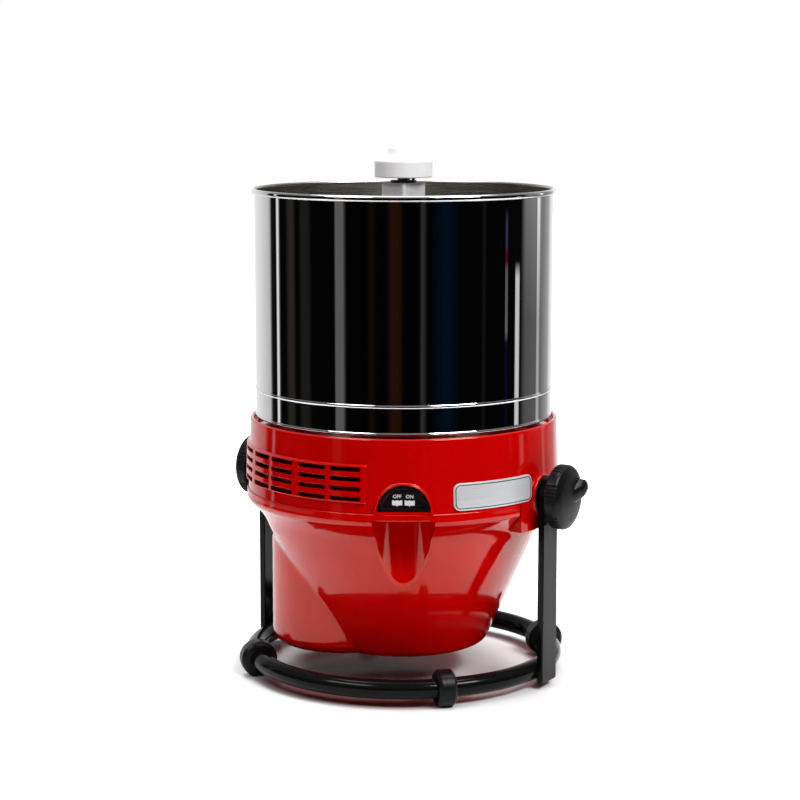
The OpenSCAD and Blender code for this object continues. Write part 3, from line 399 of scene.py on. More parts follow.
class Nodes:
    """A node tree with short ways to add and link nodes."""

    def __init__(self, tree):
        self.tree = tree

    def link(self, value, socket):
        """Links a socket into a socket, or sets a plain value on it."""
        if isinstance(value, bpy.types.NodeSocket):
            self.tree.links.new(value, socket)
        else:
            socket.default_value = value

    def node(self, kind, settings=None, **inputs):
        """Adds a node; inputs are values or sockets, given by name or as i0, i1 and so on."""
        made = self.tree.nodes.new(kind)
        for key, value in (settings or {}).items():
            setattr(made, key, value)
        for key, value in inputs.items():
            self.link(value, made.inputs[int(key[1:]) if key[1:].isdigit() else key])
        return made

    def math(self, operation, *values):
        """One sum on values or sockets."""
        inputs = {f"i{k}": value for k, value in enumerate(values)}
        return self.node("ShaderNodeMath", {"operation": operation}, **inputs).outputs[0]

    def spread(self, source, low, high, start=0.3, stop=0.7):
        """Maps a source from start..stop to low..high, and holds it there."""
        settings = {"From Min": start, "From Max": stop, "To Min": low, "To Max": high}
        return self.node("ShaderNodeMapRange", Value=source, **settings).outputs["Result"]

    def blend(self, factor, a, b, how="MIX"):
        """Colour a where the factor is 0 and b where it is 1; each is a colour or a socket."""
        made = self.node("ShaderNodeMix", {"data_type": "RGBA", "blend_type": how}, i0=factor)
        # The colour sockets of this node are its inputs 6 and 7 and its output 2
        for socket, value in ((made.inputs[6], a), (made.inputs[7], b)):
            self.link((*value, 1) if isinstance(value, tuple) else value, socket)
        return made.outputs[2]

    def colours_along(self, source, stops):
        """Colours along a source: stops of a place from 0 to 1 and a colour, ends first."""
        made = self.node("ShaderNodeValToRGB", Fac=source)
        elements = made.color_ramp.elements
        for element, (at, rgb) in zip(list(elements), stops):
            element.position, element.color = at, (*rgb, 1)
        for at, rgb in stops[2:]:
            elements.new(at).color = (*rgb, 1)
        return made.outputs[0]


class Finish(Nodes):
    """A material: its Principled shader with fixed sockets set, and the looks fed into it."""

    def __init__(self, name, rgb, **sockets):
        self.material = bpy.data.materials.new(name)
        self.material.use_nodes = True
        super().__init__(self.material.node_tree)
        self.rgb = tuple(rgb)
        self.shader = self.tree.nodes["Principled BSDF"]
        self.shader.inputs["Base Color"].default_value = (*self.rgb, 1)
        for key, value in sockets.items():
            self.shader.inputs[key.replace("_", " ")].default_value = value
        self.material.diffuse_color = (*self.rgb, 1)

    def shade(self, factor):
        """The finish's own colour made lighter or darker."""
        return tuple(min(1.0, c * factor) for c in self.rgb)

    def feed(self, socket, source):
        """Links a source into one of the shader's sockets."""
        self.link(source, self.shader.inputs[socket])

    def coords(self, kind="Object"):
        """Texture coordinates of a kind."""
        return self.node("ShaderNodeTexCoord").outputs[kind]

    def noise(self, scale, detail=3.0, rough=0.55, stretch=(1, 1, 1), kind="Object"):
        """Noise of a scale in features per metre, stretched along the axes."""
        where = self.node("ShaderNodeMapping", Vector=self.coords(kind), Scale=stretch).outputs[0]
        made = self.node(
            "ShaderNodeTexNoise", Vector=where, Scale=scale, Detail=detail, Roughness=rough
        )
        return made.outputs["Fac"]

    def mottle(self, source, low, high):
        """Base colour that runs between two shades of the finish's own colour; also gives it."""
        mottled = self.blend(self.spread(source, 0, 1), self.shade(low), self.shade(high))
        self.feed("Base Color", mottled)
        return mottled

    def dull(self, source, low, high, start=0.3, stop=0.7):
        """Roughness that runs from low to high."""
        self.feed("Roughness", self.spread(source, low, high, start, stop))

    def bump(self, source, strength, distance):
        """Bump of a depth in metres on the shader's normal, on top of what is there."""
        made = self.node("ShaderNodeBump", Height=source, Strength=strength, Distance=distance)
        before = self.shader.inputs["Normal"].links
        if before:
            self.link(before[0].from_socket, made.inputs["Normal"])
        self.feed("Normal", made.outputs["Normal"])


def chosen(name):
    """A colour from the settings."""
    return tuple(getattr(bpy.context.scene.melanger.colours, name))


def red_plastic():
    """Glossy red moulding: faint flow mottling, fine peel, rubbed spots, and a near-black painted
    shade deep in the louvre slots.
    """
    f = Finish(
        "red_moulding", chosen("red"), Roughness=0.08, IOR=1.58,
        Specular_Tint=(1.0, 0.55, 0.4, 1.0), Coat_Weight=0.25, Coat_Roughness=0.03,
    )
    mottled = f.mottle(f.noise(38, 4), 0.93, 1.05)
    # The hollow attribute paints shade into the louvre slots: the colour goes near black where a
    # slot runs deep
    hollow = f.node("ShaderNodeAttribute", {"attribute_name": "hollow"}).outputs["Fac"]
    f.feed("Base Color", f.blend(hollow, mottled, (0.006, 0.0005, 0.0005)))
    f.dull(f.noise(90, 5), 0.06, 0.11)
    f.bump(f.noise(650, 2), 0.04, 0.00006)
    f.bump(f.noise(60, 2), 0.03, 0.0003)
    return f


def black_paint():
    """Black stove paint on steel: half gloss, fine peel, a few pale rubbed specks."""
    f = Finish("black_paint", chosen("paint"), Roughness=0.12, IOR=1.23)
    specks = f.spread(f.noise(900, 2), 0, 1, 0.72, 0.80)
    f.feed("Base Color", f.blend(specks, f.rgb, f.shade(1.8)))
    f.dull(f.noise(120, 5), 0.08, 0.16)
    f.bump(f.noise(900, 2), 0.05, 0.00006)
    return f


def black_plastic():
    """Black moulded plastic: finely grained, with slightly worn high spots."""
    f = Finish("black_moulding", chosen("black"), Roughness=0.34, IOR=1.27)
    f.mottle(f.noise(45, 4), 0.8, 1.5)
    f.dull(f.noise(200, 4), 0.28, 0.4)
    f.bump(f.noise(2400, 2), 0.1, 0.00006)
    return f


def polished_steel():
    """Mirror-polished sheet: faint turning lines round the drum and cloudy patches of polish."""
    f = Finish("polished_steel", chosen("steel"), Metallic=1.0, Roughness=0.06)
    lines = f.noise(1.0, 3, 0.6, (6, 2600, 1), "UV")
    clouds = f.noise(14, 4)
    f.mottle(clouds, 0.96, 1.04)
    f.dull(f.math("MULTIPLY", lines, clouds), 0.012, 0.035, 0.15, 0.4)
    f.bump(lines, 0.012, 0.00001)
    return f


def drum_inside():
    """Inner wall of the drum: the same sheet, dulled by grinding, with level scuffs. Its colour is
    darker and browner than outside: partly a film of paste, partly painted shade in the drum.
    """
    # A darker, browner copy of the steel: partly a film of paste, partly painted shade in the drum
    paste_and_shade = (c * k for c, k in zip(chosen("steel"), (0.64, 0.6, 0.54)))
    f = Finish("drum_inside", paste_and_shade, Metallic=1.0, Roughness=0.25)
    scuffs = f.noise(1.0, 4, 0.6, (10, 1800, 1), "UV")
    f.mottle(f.noise(30, 4), 0.8, 1.02)
    f.dull(scuffs, 0.2, 0.32)
    f.bump(scuffs, 0.08, 0.00003)
    return f


def plain_steel():
    """Machined or brushed steel with fine lines and dull patches."""
    f = Finish("plain_steel", (1.1 * c for c in chosen("steel")), Metallic=1.0, Roughness=0.3)
    lines = f.noise(60, 4, 0.6, (30, 30, 1))
    f.mottle(f.noise(80, 4), 0.92, 1.04)
    f.dull(lines, 0.24, 0.4)
    f.bump(lines, 0.03, 0.00002)
    return f


def stem_steel():
    """Blasted steel of the roller holder: dull and even, with upright rubbing marks."""
    f = Finish("stem_steel", (1.2 * c for c in chosen("steel")), Metallic=1.0, Roughness=0.65)
    lines = f.noise(60, 4, 0.6, (30, 30, 1))
    f.mottle(lines, 0.93, 1.05)
    f.dull(f.noise(140, 4), 0.58, 0.74)
    f.bump(lines, 0.03, 0.00002)
    return f


def black_oxide():
    """Near-black spring steel with a faint oily sheen, on the spring and its washer: painted shade
    for the dark gap under the tension knob.
    """
    f = Finish("black_oxide", (0.02, 0.019, 0.018), Metallic=0.7, Roughness=0.4)
    f.mottle(f.noise(300, 3), 1.0, 2.0)
    f.dull(f.noise(500, 3), 0.34, 0.5)
    return f


def motor_iron():
    """Laminated core and windings: dark copper brown with fine level lines."""
    f = Finish("motor_iron", (0.16, 0.075, 0.035), Metallic=0.6, Roughness=0.45)
    lines = f.noise(40, 3, 0.5, (1, 1, 45))
    f.mottle(lines, 0.6, 1.3)
    f.bump(lines, 0.3, 0.0002)
    return f


def aluminium():
    """Cast aluminium: dull, sandy, with brighter rubbed spots."""
    f = Finish("cast_aluminium", (0.60, 0.61, 0.62), Metallic=1.0, Roughness=0.4)
    f.mottle(f.noise(70, 5), 0.82, 1.08)
    f.dull(f.noise(300, 4), 0.3, 0.52)
    f.bump(f.noise(1500, 3), 0.15, 0.0001)
    return f


def white_plastic():
    """White acetal: waxy, faintly mottled, with a soft turned surface."""
    f = Finish(
        "white_plastic", chosen("white"), Roughness=0.38, IOR=1.48,
        Subsurface_Weight=0.06, Subsurface_Scale=0.004,
    )
    f.mottle(f.noise(60, 4), 0.97, 1.03)
    f.dull(f.noise(250, 3), 0.3, 0.46)
    f.bump(f.noise(900, 2), 0.08, 0.0001)
    return f


def granite():
    """Dressed granite: pale, grey and dark grains a few millimetres wide in a pitted skin."""
    f = Finish("granite", chosen("granite"), Roughness=0.55, IOR=1.5)
    grains = f.node("ShaderNodeTexVoronoi", Vector=f.coords(), Scale=420.0).outputs["Color"]
    grey = f.node("ShaderNodeSeparateColor", Color=grains).outputs[0]
    pale = f.spread(grey, 0, 1, 0.66, 0.86)
    dark = f.spread(grey, 1, 0, 0.12, 0.26)
    with_pale = f.blend(pale, f.mottle(f.noise(160, 5), 0.7, 1.35), (0.52, 0.51, 0.49))
    f.feed("Base Color", f.blend(dark, with_pale, (0.035, 0.034, 0.036)))
    f.dull(grey, 0.42, 0.7, 0.0, 1.0)
    f.bump(f.noise(700, 5), 0.35, 0.00025)
    return f


def brass():
    """Turned brass with fine lines."""
    f = Finish("turned_brass", (0.70, 0.49, 0.19), Metallic=1.0, Roughness=0.28)
    f.mottle(f.noise(120, 3), 0.85, 1.06)
    f.dull(f.noise(50, 3, 0.6, (1, 1, 40)), 0.2, 0.38)
    return f


def belt_rubber():
    """Black rubber belt: matt, dusty on its high spots."""
    f = Finish("belt_rubber", (0.018, 0.018, 0.018), Roughness=0.75, IOR=1.45)
    f.mottle(f.noise(150, 4), 1.0, 2.2)
    f.bump(f.noise(1800, 3), 0.3, 0.00015)
    return f


def badge_silver():
    """Blank badge face: silver foil brushed lengthwise."""
    f = Finish("badge_silver", (0.72, 0.73, 0.75), Metallic=0.35, Roughness=0.4)
    lines = f.noise(1.0, 4, 0.6, (20, 1500, 1), "UV")
    f.mottle(lines, 0.92, 1.1)
    f.dull(lines, 0.28, 0.46)
    return f


def badge_line():
    """Dark line inked in the badge's groove."""
    f = Finish("badge_line", (0.02, 0.02, 0.022), Roughness=0.5)
    f.dull(f.noise(400, 3), 0.4, 0.6)
    f.mottle(f.noise(300, 3), 1.0, 1.8)
    return f


def white_ink():
    """White printing ink on the switch."""
    f = Finish("white_ink", (0.78, 0.78, 0.80), Roughness=0.5)
    f.mottle(f.noise(900, 3), 0.85, 1.0)
    return f


FINISHES = {
    make.__name__: make
    for make in (
        red_plastic, black_paint, black_plastic, polished_steel, drum_inside, plain_steel,
        stem_steel, black_oxide, motor_iron, aluminium, white_plastic, granite, brass, belt_rubber,
        badge_silver, badge_line, white_ink,
    )
}
MADE = {}


def finish(name):
    """The finish of a name, made once."""
    if name not in MADE:
        MADE[name] = FINISHES[name]().material
    return MADE[name]


class MELANGER_OT_stage(bpy.types.Operator):
    """Sets the camera, the pale table, the room and the soft lights."""

    bl_idname = "melanger.stage"
    bl_label = "Stage"

    # The table: its colour, half width, near and far edges, and how far it lies below the feet
    white = (0.86, 0.86, 0.87)
    half, near, far, drop = 1.25, -0.36, 5.5, 0.0004
    # The shade under the housing: colour, place to the right and ahead, soft edge, end at the ring
    shade, shade_at = (0.22, 0.10, 0.10), (-0.04, -0.07)
    shade_edge, shade_end = (0.066, 0.095), (0.116, 0.127)
    # Painted shade that mirrors see inside the ring: its near-black colour, and the edge where that
    # ends
    unlit, unlit_edge = (0.002, 0.001, 0.001), (0.10, 0.118)
    # The glow that the camera sees: place of its dim middle, soft edge, start outside the ring
    glow_at, glow_edge, glow_start = (0.07, 0.03), (0.13, 0.34), (0.126, 0.145)
    # Where the table ends for mirrors
    open_edge = (0.6, 0.85)

    # Lamps: name, size, and place to the right, ahead and up; each looks at the object's middle
    lamps = (
        ("Key", (1.2, 0.5), (1.15, -1.15, 1.72)),
        ("Fill", (1.2, 0.5), (-1.2, -1.1, 1.72)),
        ("Top", (1.6, 1.1), (0.0, 0.35, 1.9)),
    )
    aim_z = 0.2

    # Walls of the room to the left and right: bearings from the camera's side in degrees with their
    # levels, the two ends first
    levels = {
        -1: ((-180, 1.0), (0, 0.0008), (-145, 0.9), (-125, 0.65), (-121, 0.012), (-114, 0.002)),
        1: (
            (0, 0.0008), (180, 1.0), (101, 0.002), (107, 0.1), (124, 0.1), (133, 0.22),
            (148, 0.45), (157, 0.95),
        ),
    }
    # Uprights on them: bearing, width, soft edge and colour
    uprights = {
        -1: (
            (-111.7, 2.6, 0.8, (1.0, 1.0, 1.0)), (-96, 4, 4, (0.028, 0.024, 0.02)),
            (-81, 6, 3, (0.014, 0.014, 0.012)), (-49, 6.5, 1, (0.13, 0.127, 0.122)),
            (-24, 2, 3, (0.007, 0.005, 0.003)), (-6, 5, 4, (0.019, 0.007, 0.003)),
        ),
        1: (
            (15, 2, 1.5, (0.03, 0.03, 0.03)), (32, 4, 9, (0.001, 0.006, 0.013)),
            (63.5, 1.6, 1, (0.009, 0.009, 0.009)), (126.5, 3, 2, (0.5, 0.5, 0.5)),
        ),
    }
    # Slopes of a line of sight from the horizon down, over which the bands below change
    fall_edge = (-0.05, -0.15)
    # Bands on the right: bearing, half width and soft edge. The grey one is lifted at the top and
    # plain from a share of the fall on, and the pale one starts over two shares of it
    grey_band, grey_lift, grey_end = (117, 12, 5), 2.2, 0.65
    pale_band, pale, pale_start = (97, 1.9, 0.8), (0.74, 0.73, 0.70), (0.38, 0.45)
    tint_band = (85.5, 0.9, 0.7)
    # The ceiling that mirrors see, and the even light for the rest: slopes where each comes in
    ceiling, ceiling_edge, even_edge = (0.30, 0.30, 0.31), (0.18, 0.6), (0.25, 0.6)

    def execute(self, context):
        s = context.scene.melanger.studio
        scene = context.scene
        scene.view_settings.view_transform = "Standard"
        right = np.array([math.cos(s.turn), math.sin(s.turn)])
        ahead = np.array([-math.sin(s.turn), math.cos(s.turn)])

        camera = bpy.data.cameras.new("Camera")
        camera.lens, camera.sensor_width, camera.shift_x = s.lens, 36, s.shift
        eye = bpy.data.objects.new("Camera", camera)
        eye.location = (*(-s.reach * ahead), s.height)
        eye.rotation_euler = (math.pi / 2 - s.pitch, 0, s.turn)
        scene.collection.objects.link(eye)
        scene.camera = eye

        self.table(right, ahead)
        self.room(scene, s)
        for name, size, (to_right, to_ahead, up) in self.lamps:
            level = to_right * right + to_ahead * ahead
            self.lamp(scene, name, getattr(s, name.lower()), size, (*level, up))
        return {"FINISHED"}

    def table(self, right, ahead):
        """A level white sheet that ends in front of the object, laid out square to the camera.
        It has painted shade under the housing, glows to the camera outside the ring, and mirrors
        see painted shade, near black, inside the ring and look through it far away."""
        u, v = np.meshgrid(
            np.linspace(-self.half, self.half, 11), np.linspace(self.near, self.far, 25),
            indexing="ij",
        )
        flat = u[..., None] * right + v[..., None] * ahead
        grid = np.concatenate([flat, np.full((*u.shape, 1), -self.drop)], -1)
        mesh = skin("Table", grid, around=False, poles=False)
        if mesh.polygons[0].normal.z < 0:
            mesh.flip_normals()
        f = Finish("table", self.white, Roughness=0.1, IOR=1.06)
        f.dull(f.noise(6, 3), 0.08, 0.13)
        path = f.node("ShaderNodeLightPath").outputs
        mirrored = path["Is Glossy Ray"]

        def apart(to_right, to_ahead):
            """Distance from a spot on the table."""
            spot = (*(to_right * right + to_ahead * ahead), 0)
            made = f.node("ShaderNodeVectorMath", {"operation": "DISTANCE"}, i0=f.coords(), i1=spot)
            return made.outputs["Value"]

        def outside(distance, edge):
            """Rises from 0 to 1 over an edge."""
            return f.spread(distance, 0.0, 1.0, *edge)

        away = apart(0, 0)
        off_shade = outside(apart(*self.shade_at), self.shade_edge)
        plain = f.math("MAXIMUM", off_shade, outside(away, self.shade_end))
        shaded = f.blend(plain, self.shade, self.white)
        # Mirrors see the table inside the ring painted near black, a painted shade
        under = f.math("MULTIPLY", mirrored, f.spread(away, 1.0, 0.0, *self.unlit_edge))
        f.feed("Base Color", f.blend(under, shaded, self.unlit))
        off_dim = outside(apart(*self.glow_at), self.glow_edge)
        level = f.math("MULTIPLY", off_dim, outside(away, self.glow_start))
        seen = f.math("MULTIPLY", path["Is Camera Ray"], level)
        glow = f.node("ShaderNodeEmission", Color=(1, 1, 1, 1), Strength=seen).outputs[0]
        lit = f.node("ShaderNodeAddShader", i0=f.shader.outputs[0], i1=glow).outputs[0]
        open_air = f.math("MULTIPLY", mirrored, outside(away, self.open_edge))
        clear = f.node("ShaderNodeBsdfTransparent").outputs[0]
        both = f.node("ShaderNodeMixShader", i0=open_air, i1=lit, i2=clear).outputs[0]
        f.link(both, f.tree.nodes["Material Output"].inputs["Surface"])
        mesh.materials.append(f.material)
        table = bpy.data.objects.new("Table", mesh)
        bpy.context.scene.collection.objects.link(table)

    def room(self, scene, s):
        """White to the camera, even light from above for matt surfaces, and for mirrors a white
        sweep behind with a dark room in front that has a few pale uprights."""
        world = bpy.data.worlds.new("Room")
        world.use_nodes = True
        scene.world = world
        world.node_tree.nodes.clear()
        n = Nodes(world.node_tree)
        where = n.node("ShaderNodeTexCoord").outputs["Generated"]
        turned = n.node("ShaderNodeMapping", Vector=where, Rotation=(0, 0, -s.turn)).outputs[0]
        across, along, up = n.node("ShaderNodeSeparateXYZ", Vector=turned).outputs
        side = n.math("ARCTAN2", across, n.math("MULTIPLY", along, -1.0))
        share = n.spread(side, 0, 1, -math.pi, math.pi)
        left, right = (n.colours_along(share, self.wall(sign)) for sign in (-1, 1))
        walls = n.blend(n.math("GREATER_THAN", share, 0.5), left, right)
        fall = n.spread(up, 0, 1, *self.fall_edge)
        paler = n.spread(fall, self.grey_lift, 1.0, 0.0, self.grey_end)
        walls = n.blend(self.band(n, side, *self.grey_band), walls, paler, "MULTIPLY")
        low = n.spread(fall, 0, 1, *self.pale_start)
        started = n.math("MULTIPLY", low, self.band(n, side, *self.pale_band))
        walls = n.blend(started, walls, self.pale)
        tints = n.colours_along(fall, self.tints())
        walls = n.blend(self.band(n, side, *self.tint_band), walls, tints)
        walls = n.blend(n.spread(up, 0, 1, *self.ceiling_edge), walls, self.ceiling)

        def background(rgb, strength):
            """Light of a colour and a strength."""
            return n.node("ShaderNodeBackground", Color=rgb, Strength=strength).outputs[0]

        path = n.node("ShaderNodeLightPath").outputs
        even = background((1, 1, 1, 1), n.spread(up, 0, s.ambient, *self.even_edge))
        mirrored = n.math("MAXIMUM", path["Is Glossy Ray"], path["Is Transmission Ray"])
        inner = n.node("ShaderNodeMixShader", i0=mirrored, i1=even, i2=background(walls, 1.0))
        outer = n.node(
            "ShaderNodeMixShader", i0=path["Is Camera Ray"], i1=inner.outputs[0],
            i2=background((1, 1, 1, 1), 1.0),
        )
        n.node("ShaderNodeOutputWorld", Surface=outer.outputs[0])

    def wall(self, sign):
        """Colours of one wall over the bearing: its levels, and four stops for each upright."""
        levels = self.levels[sign]
        stops = [(at, (level,) * 3) for at, level in levels]
        for at, width, soft, rgb in self.uprights[sign]:
            under = (float(np.interp(at, *zip(*sorted(levels)))),) * 3
            half = width / 2
            stops += [(at - half - soft, under), (at - half, rgb)]
            stops += [(at + half, rgb), (at + half + soft, under)]
        return [(at / 360 + 0.5, rgb) for at, rgb in stops]

    def band(self, n, side, at, half, soft):
        """1 within half a width of a bearing, falling to 0 over a soft edge; all in degrees."""
        apart = n.math("ABSOLUTE", n.math("SUBTRACT", side, math.radians(at)))
        return n.spread(apart, 0, 1, math.radians(half + soft), math.radians(half))

    def tints(self):
        """Colours down one narrow upright: dark, blue grey, dark red, grey and dark blue."""
        dark, navy = (0.001, 0.001, 0.001), (0.003, 0.003, 0.022)
        slate, wine = (0.03, 0.034, 0.075), (0.10, 0.004, 0.014)
        return [
            (0.13, dark), (0.75, navy), (0.18, slate), (0.31, slate), (0.33, wine), (0.38, wine),
            (0.42, (0.12,) * 3), (0.70, (0.15,) * 3),
        ]

    def lamp(self, scene, name, power, size, place):
        """A rectangular soft light turned to the middle of the object."""
        data = bpy.data.lights.new(name, "AREA")
        data.shape, data.size, data.size_y, data.energy = "RECTANGLE", size[0], size[1], power
        lamp = bpy.data.objects.new(name, data)
        lamp.location = place
        x, y, z = np.array([0, 0, self.aim_z]) - np.array(lamp.location)
        lamp.rotation_euler = (math.atan2(math.hypot(x, y), -z), 0, math.atan2(y, x) - math.pi / 2)
        scene.collection.objects.link(lamp)


class MELANGER_OT_drum(bpy.types.Operator):
    """Spins the drum: rolled rim, swaged bead, rolled hem and inner wall in one closed skin."""

    bl_idname = "melanger.drum"
    bl_label = "Drum"

    # Grid columns, rows of a wall, steps round the rim, and the room kept beside a bend
    columns, wall_rows, rim_steps, keep = 512, 40, 18, 0.0004
    # How far the hem's roll stands out, and the bead's centre behind the sheet
    hem_out, bead_in = 0.0005, 0.0003
    # Long waves in the wall: how many go round, their share of the depth, and where they start
    waves = ((7, 1.0, 0.4), (13, 0.7, 2.0), (22, 0.5, 1.1))

    def wall(self, r, start, stop, steps):
        """Upright stretch of the profile, which keeps clear of the bends at both ends."""
        inset = math.copysign(self.keep, stop - start)
        middle = np.linspace(start, stop, steps)[1:-1]
        z = np.concatenate([[start + inset], middle, [stop - inset]])
        return np.stack([np.full(len(z), r), z], -1)

    def profile(self, d):
        """Closed profile of the sheet: arcs for the hem, the bead and the rim, joined by walls."""
        inner = d.wall - d.sheet
        hem_r, hem_z = d.wall - d.hem + self.hem_out, d.foot_z + d.hem
        roll = (d.rim_r - inner) / 2
        rim_r, low, high = inner + roll, d.rim_z - d.rim_h + roll, d.rim_z - roll
        bead_r, bead_z = inner - self.bead_in, d.foot_z + d.bead_z
        swell = d.wall + d.bead - bead_r

        def meets(r, centre, radius):
            """Angle on a circle where it meets a radius of the drum."""
            return math.degrees(math.acos((r - centre) / radius))

        start, stop = meets(inner, hem_r, d.hem), 360 + meets(d.wall, hem_r, d.hem)
        hem = arc(hem_r, hem_z, d.hem, start, stop, 22)
        lean = meets(d.wall, bead_r, swell)
        bead = arc(bead_r, bead_z, swell, -lean, lean, 14)
        rim = np.concatenate([
            arc(rim_r, low, roll, -meets(d.wall, rim_r, roll), 0, 10),
            arc(rim_r, high, roll, 0, 180, self.rim_steps),
        ])
        return np.concatenate([
            hem, self.wall(d.wall, hem[-1, 1], bead[0, 1], 8),
            bead, self.wall(d.wall, bead[-1, 1], rim[0, 1], self.wall_rows),
            rim, self.wall(inner, rim[-1, 1], hem[0, 1], self.wall_rows),
        ])

    def execute(self, context):
        d = context.scene.melanger.drum
        profile = self.profile(d)
        phi = full_turn(self.columns)
        # The wall's radius carries a sum of sines, and the map runs round and along the profile
        wave = d.wave * sum(k * np.sin(count * phi + start) for count, k, start in self.waves)
        on_wall = np.isclose(profile[:, 0], d.wall, atol=1e-5)[None, :]
        grid = polar(phi, profile[None, :, 0] + wave * on_wall, profile[None, :, 1])
        steps = np.diff(np.vstack([profile, profile[:1]]), axis=0)
        run = np.concatenate([[0], np.cumsum(np.hypot(*steps.T))])
        turn = np.linspace(0, 2 * np.pi * d.wall, self.columns + 1)
        uv = np.stack(np.meshgrid(turn, run, indexing="ij"), -1)
        # The inner wall's rows take the darker drum_inside finish, which is partly painted shade
        inside = np.zeros(len(profile), int)
        inside[-(self.wall_rows + self.rim_steps // 2):] = 1
        mesh = skin("drum_wall_spun", grid, along=True, uv=uv, row_finish=inside, poles=False)
        piece(mesh, "polished_steel drum_inside", "drum_shell")
        return {"FINISHED"}


class MELANGER_OT_upper_housing(bpy.types.Operator):
    """Moulds the upper housing: flared band, louvre panel with sloping slots, switch arch and
    pivot ears."""

    bl_idname = "melanger.upper_housing"
    bl_label = "Upper housing"

    # Grid: places of close columns in degrees and of close rows, and spacing of even and rough rows
    near_a = np.array([-0.5, -0.2, -0.07, 0.07, 0.2, 0.5])
    near_z = np.array([-0.00035, -0.0001, 0.0001, 0.00035])
    even_row, rough_row, least_row = 0.0006, 0.002, 0.00009
    # Louvres: a slot, the bar in a pair, the gap between pairs and the plain end, in degrees
    slot_a, bar_a, gap_a, edge_a, pairs, rows = 11.2, 2.0, 3.2, 1.9, 3, 4
    # A slot's drop below its nominal foot, its slope and greatest depth, and the panel's height
    slot_drop, slot_slope, slot_deep, panel_h = 0.00033, 0.268, 0.0078, 0.029
    # Soft steps at the edges of the panel and of a slot: round the band in degrees, and upright
    panel_soft, slot_soft, border_in = (0.4, 0.0008), (0.22, 0.00022), 0.0003
    # Depths over which the painted shade inside a slot comes in, up to near black
    dark_from, dark_over = 0.0004, 0.0007
    # How far the arch's crown stands before the switch face, its roundness and soft edge, and the
    # height and inset of its flat foot
    arch_out, arch_round, arch_soft, flat_h, flat_in = 0.002, 0.0007, 0.0007, 0.0002, 0.0003
    # The seat's depth and soft edge, and how far round the band the switch reaches, in degrees
    seat_in, seat_soft, reach = 0.0055, 0.0004, 20
    # Radius of the tray's hub, its rim's height, a row half-way out, and the edges' size
    hub, hub_rim, tray_row, edge, nick = 0.0185, 0.002, 0.06, 0.0004, 0.00012
    # Round pad on an ear: radius, start and face along the tilt axis, and edge
    pad_r, pad_in, pad_face, pad_edge = 0.016, 0.110, 0.12295, 0.0008

    def slot_starts(self, h):
        """Bearings in degrees of the front ends of the louvre columns."""
        start = math.degrees(h.vent_phi) - self.edge_a
        pair = 2 * self.slot_a + self.bar_a
        return [
            start - p * (pair + self.gap_a) - k * (self.slot_a + self.bar_a)
            for p in range(self.pairs) for k in (0, 1)
        ]

    def columns(self, h):
        """Bearings of the columns: even steps, and close ones at slots, the arch and the ears."""
        ends = np.array([e for a in self.slot_starts(h) for e in (a, a - self.slot_a)])
        panel = np.array([math.degrees(h.vent_phi), ends[-1] - self.edge_a])
        arch = math.degrees(h.switch_phi) + np.arange(-11.6, 11.61, 0.22)
        close = [(spots[:, None] + self.near_a).ravel() for spots in (ends, panel)]
        ears = ear_edges(h, (-0.25, -0.01, 0.01, 0.25))
        return bearings([np.arange(-180, 180, 1.0), *close, arch, ears], 0.012)

    def slot_foot(self, h, row):
        """Height of the lower edge of a row of slots."""
        return h.vent_z - self.slot_drop + row * h.vent_pitch

    def heights(self, h):
        """Heights of the outer wall's rows from the top edge down, close together at the louvres
        and the arch."""
        edges = [self.slot_foot(h, k) + e for k in range(self.rows) for e in (0, h.vent_slot)]
        close = (np.array(edges)[:, None] + self.near_z).ravel()
        even = np.arange(h.seam_z + 0.004, h.vent_z + self.panel_h, self.even_row)
        rough = np.arange(h.vent_z + self.panel_h, h.top_z - 0.0016, self.rough_row)
        z = np.unique(np.round(np.concatenate([close, even, rough]), 6))
        return z[np.concatenate([[True], np.diff(z) > self.least_row])][::-1]

    def louvres(self, phi, z, h):
        """How far the louvre panel stands out, and how deep its slots go: each slot is deepest at
        its upper edge and slopes out to its lower edge."""
        degree = np.degrees(phi)
        starts = self.slot_starts(h)
        front, back = math.degrees(h.vent_phi), starts[-1] - self.slot_a - self.edge_a
        low = h.vent_z - h.vent_border + self.border_in
        top = h.vent_z + (self.rows - 1) * h.vent_pitch + h.vent_slot
        high = top + h.vent_border - self.border_in
        round_soft, up_soft = self.panel_soft
        raised = inside_of(degree, back, front, round_soft) * inside_of(z, low, high, up_soft)
        round_soft, up_soft = self.slot_soft
        across = sum(inside_of(degree, a - self.slot_a, a, round_soft) for a in starts)
        depth = 0
        for row in range(self.rows):
            foot = self.slot_foot(h, row)
            slope = np.clip((z - foot) / self.slot_slope, 0, self.slot_deep)
            depth = depth + slope * ramp(-z, -(foot + h.vent_slot), up_soft)
        return h.vent_out * raised, depth * across

    def with_switch(self, r, phi, z, h, w):
        """Radius of the band with the switch's round arch raised on it and its seat sunk in it."""
        off = np.arctan2(np.sin(phi - h.switch_phi), np.cos(phi - h.switch_phi))
        ahead = np.abs(off) < math.radians(self.reach)
        off = np.clip(off, -0.5, 0.5)
        s = np.where(ahead, w.face * np.tan(off), 1.0)
        span = np.hypot(s, np.maximum(z - w.foot_z, 0))
        face = (w.face + self.arch_out) / np.cos(off)
        crown = (span - w.radius - w.arch / 2) / (w.arch / 2)
        lip = face - self.arch_round * np.clip(crown, -1.2, 1.2) ** 2
        lip = np.where(z < w.foot_z + self.flat_h, face - self.flat_in, lip)
        arch = (np.maximum(lip, r) - r) * ramp(-span, -(w.radius + w.arch), self.arch_soft)
        r = np.where(ahead, r + arch, r)
        seat = (w.face - self.seat_in) / np.cos(off)
        inside = ramp(-span, -w.radius, self.seat_soft) * ramp(z, w.foot_z, self.seat_soft)
        return np.where(ahead, r + (seat - r) * inside, r)

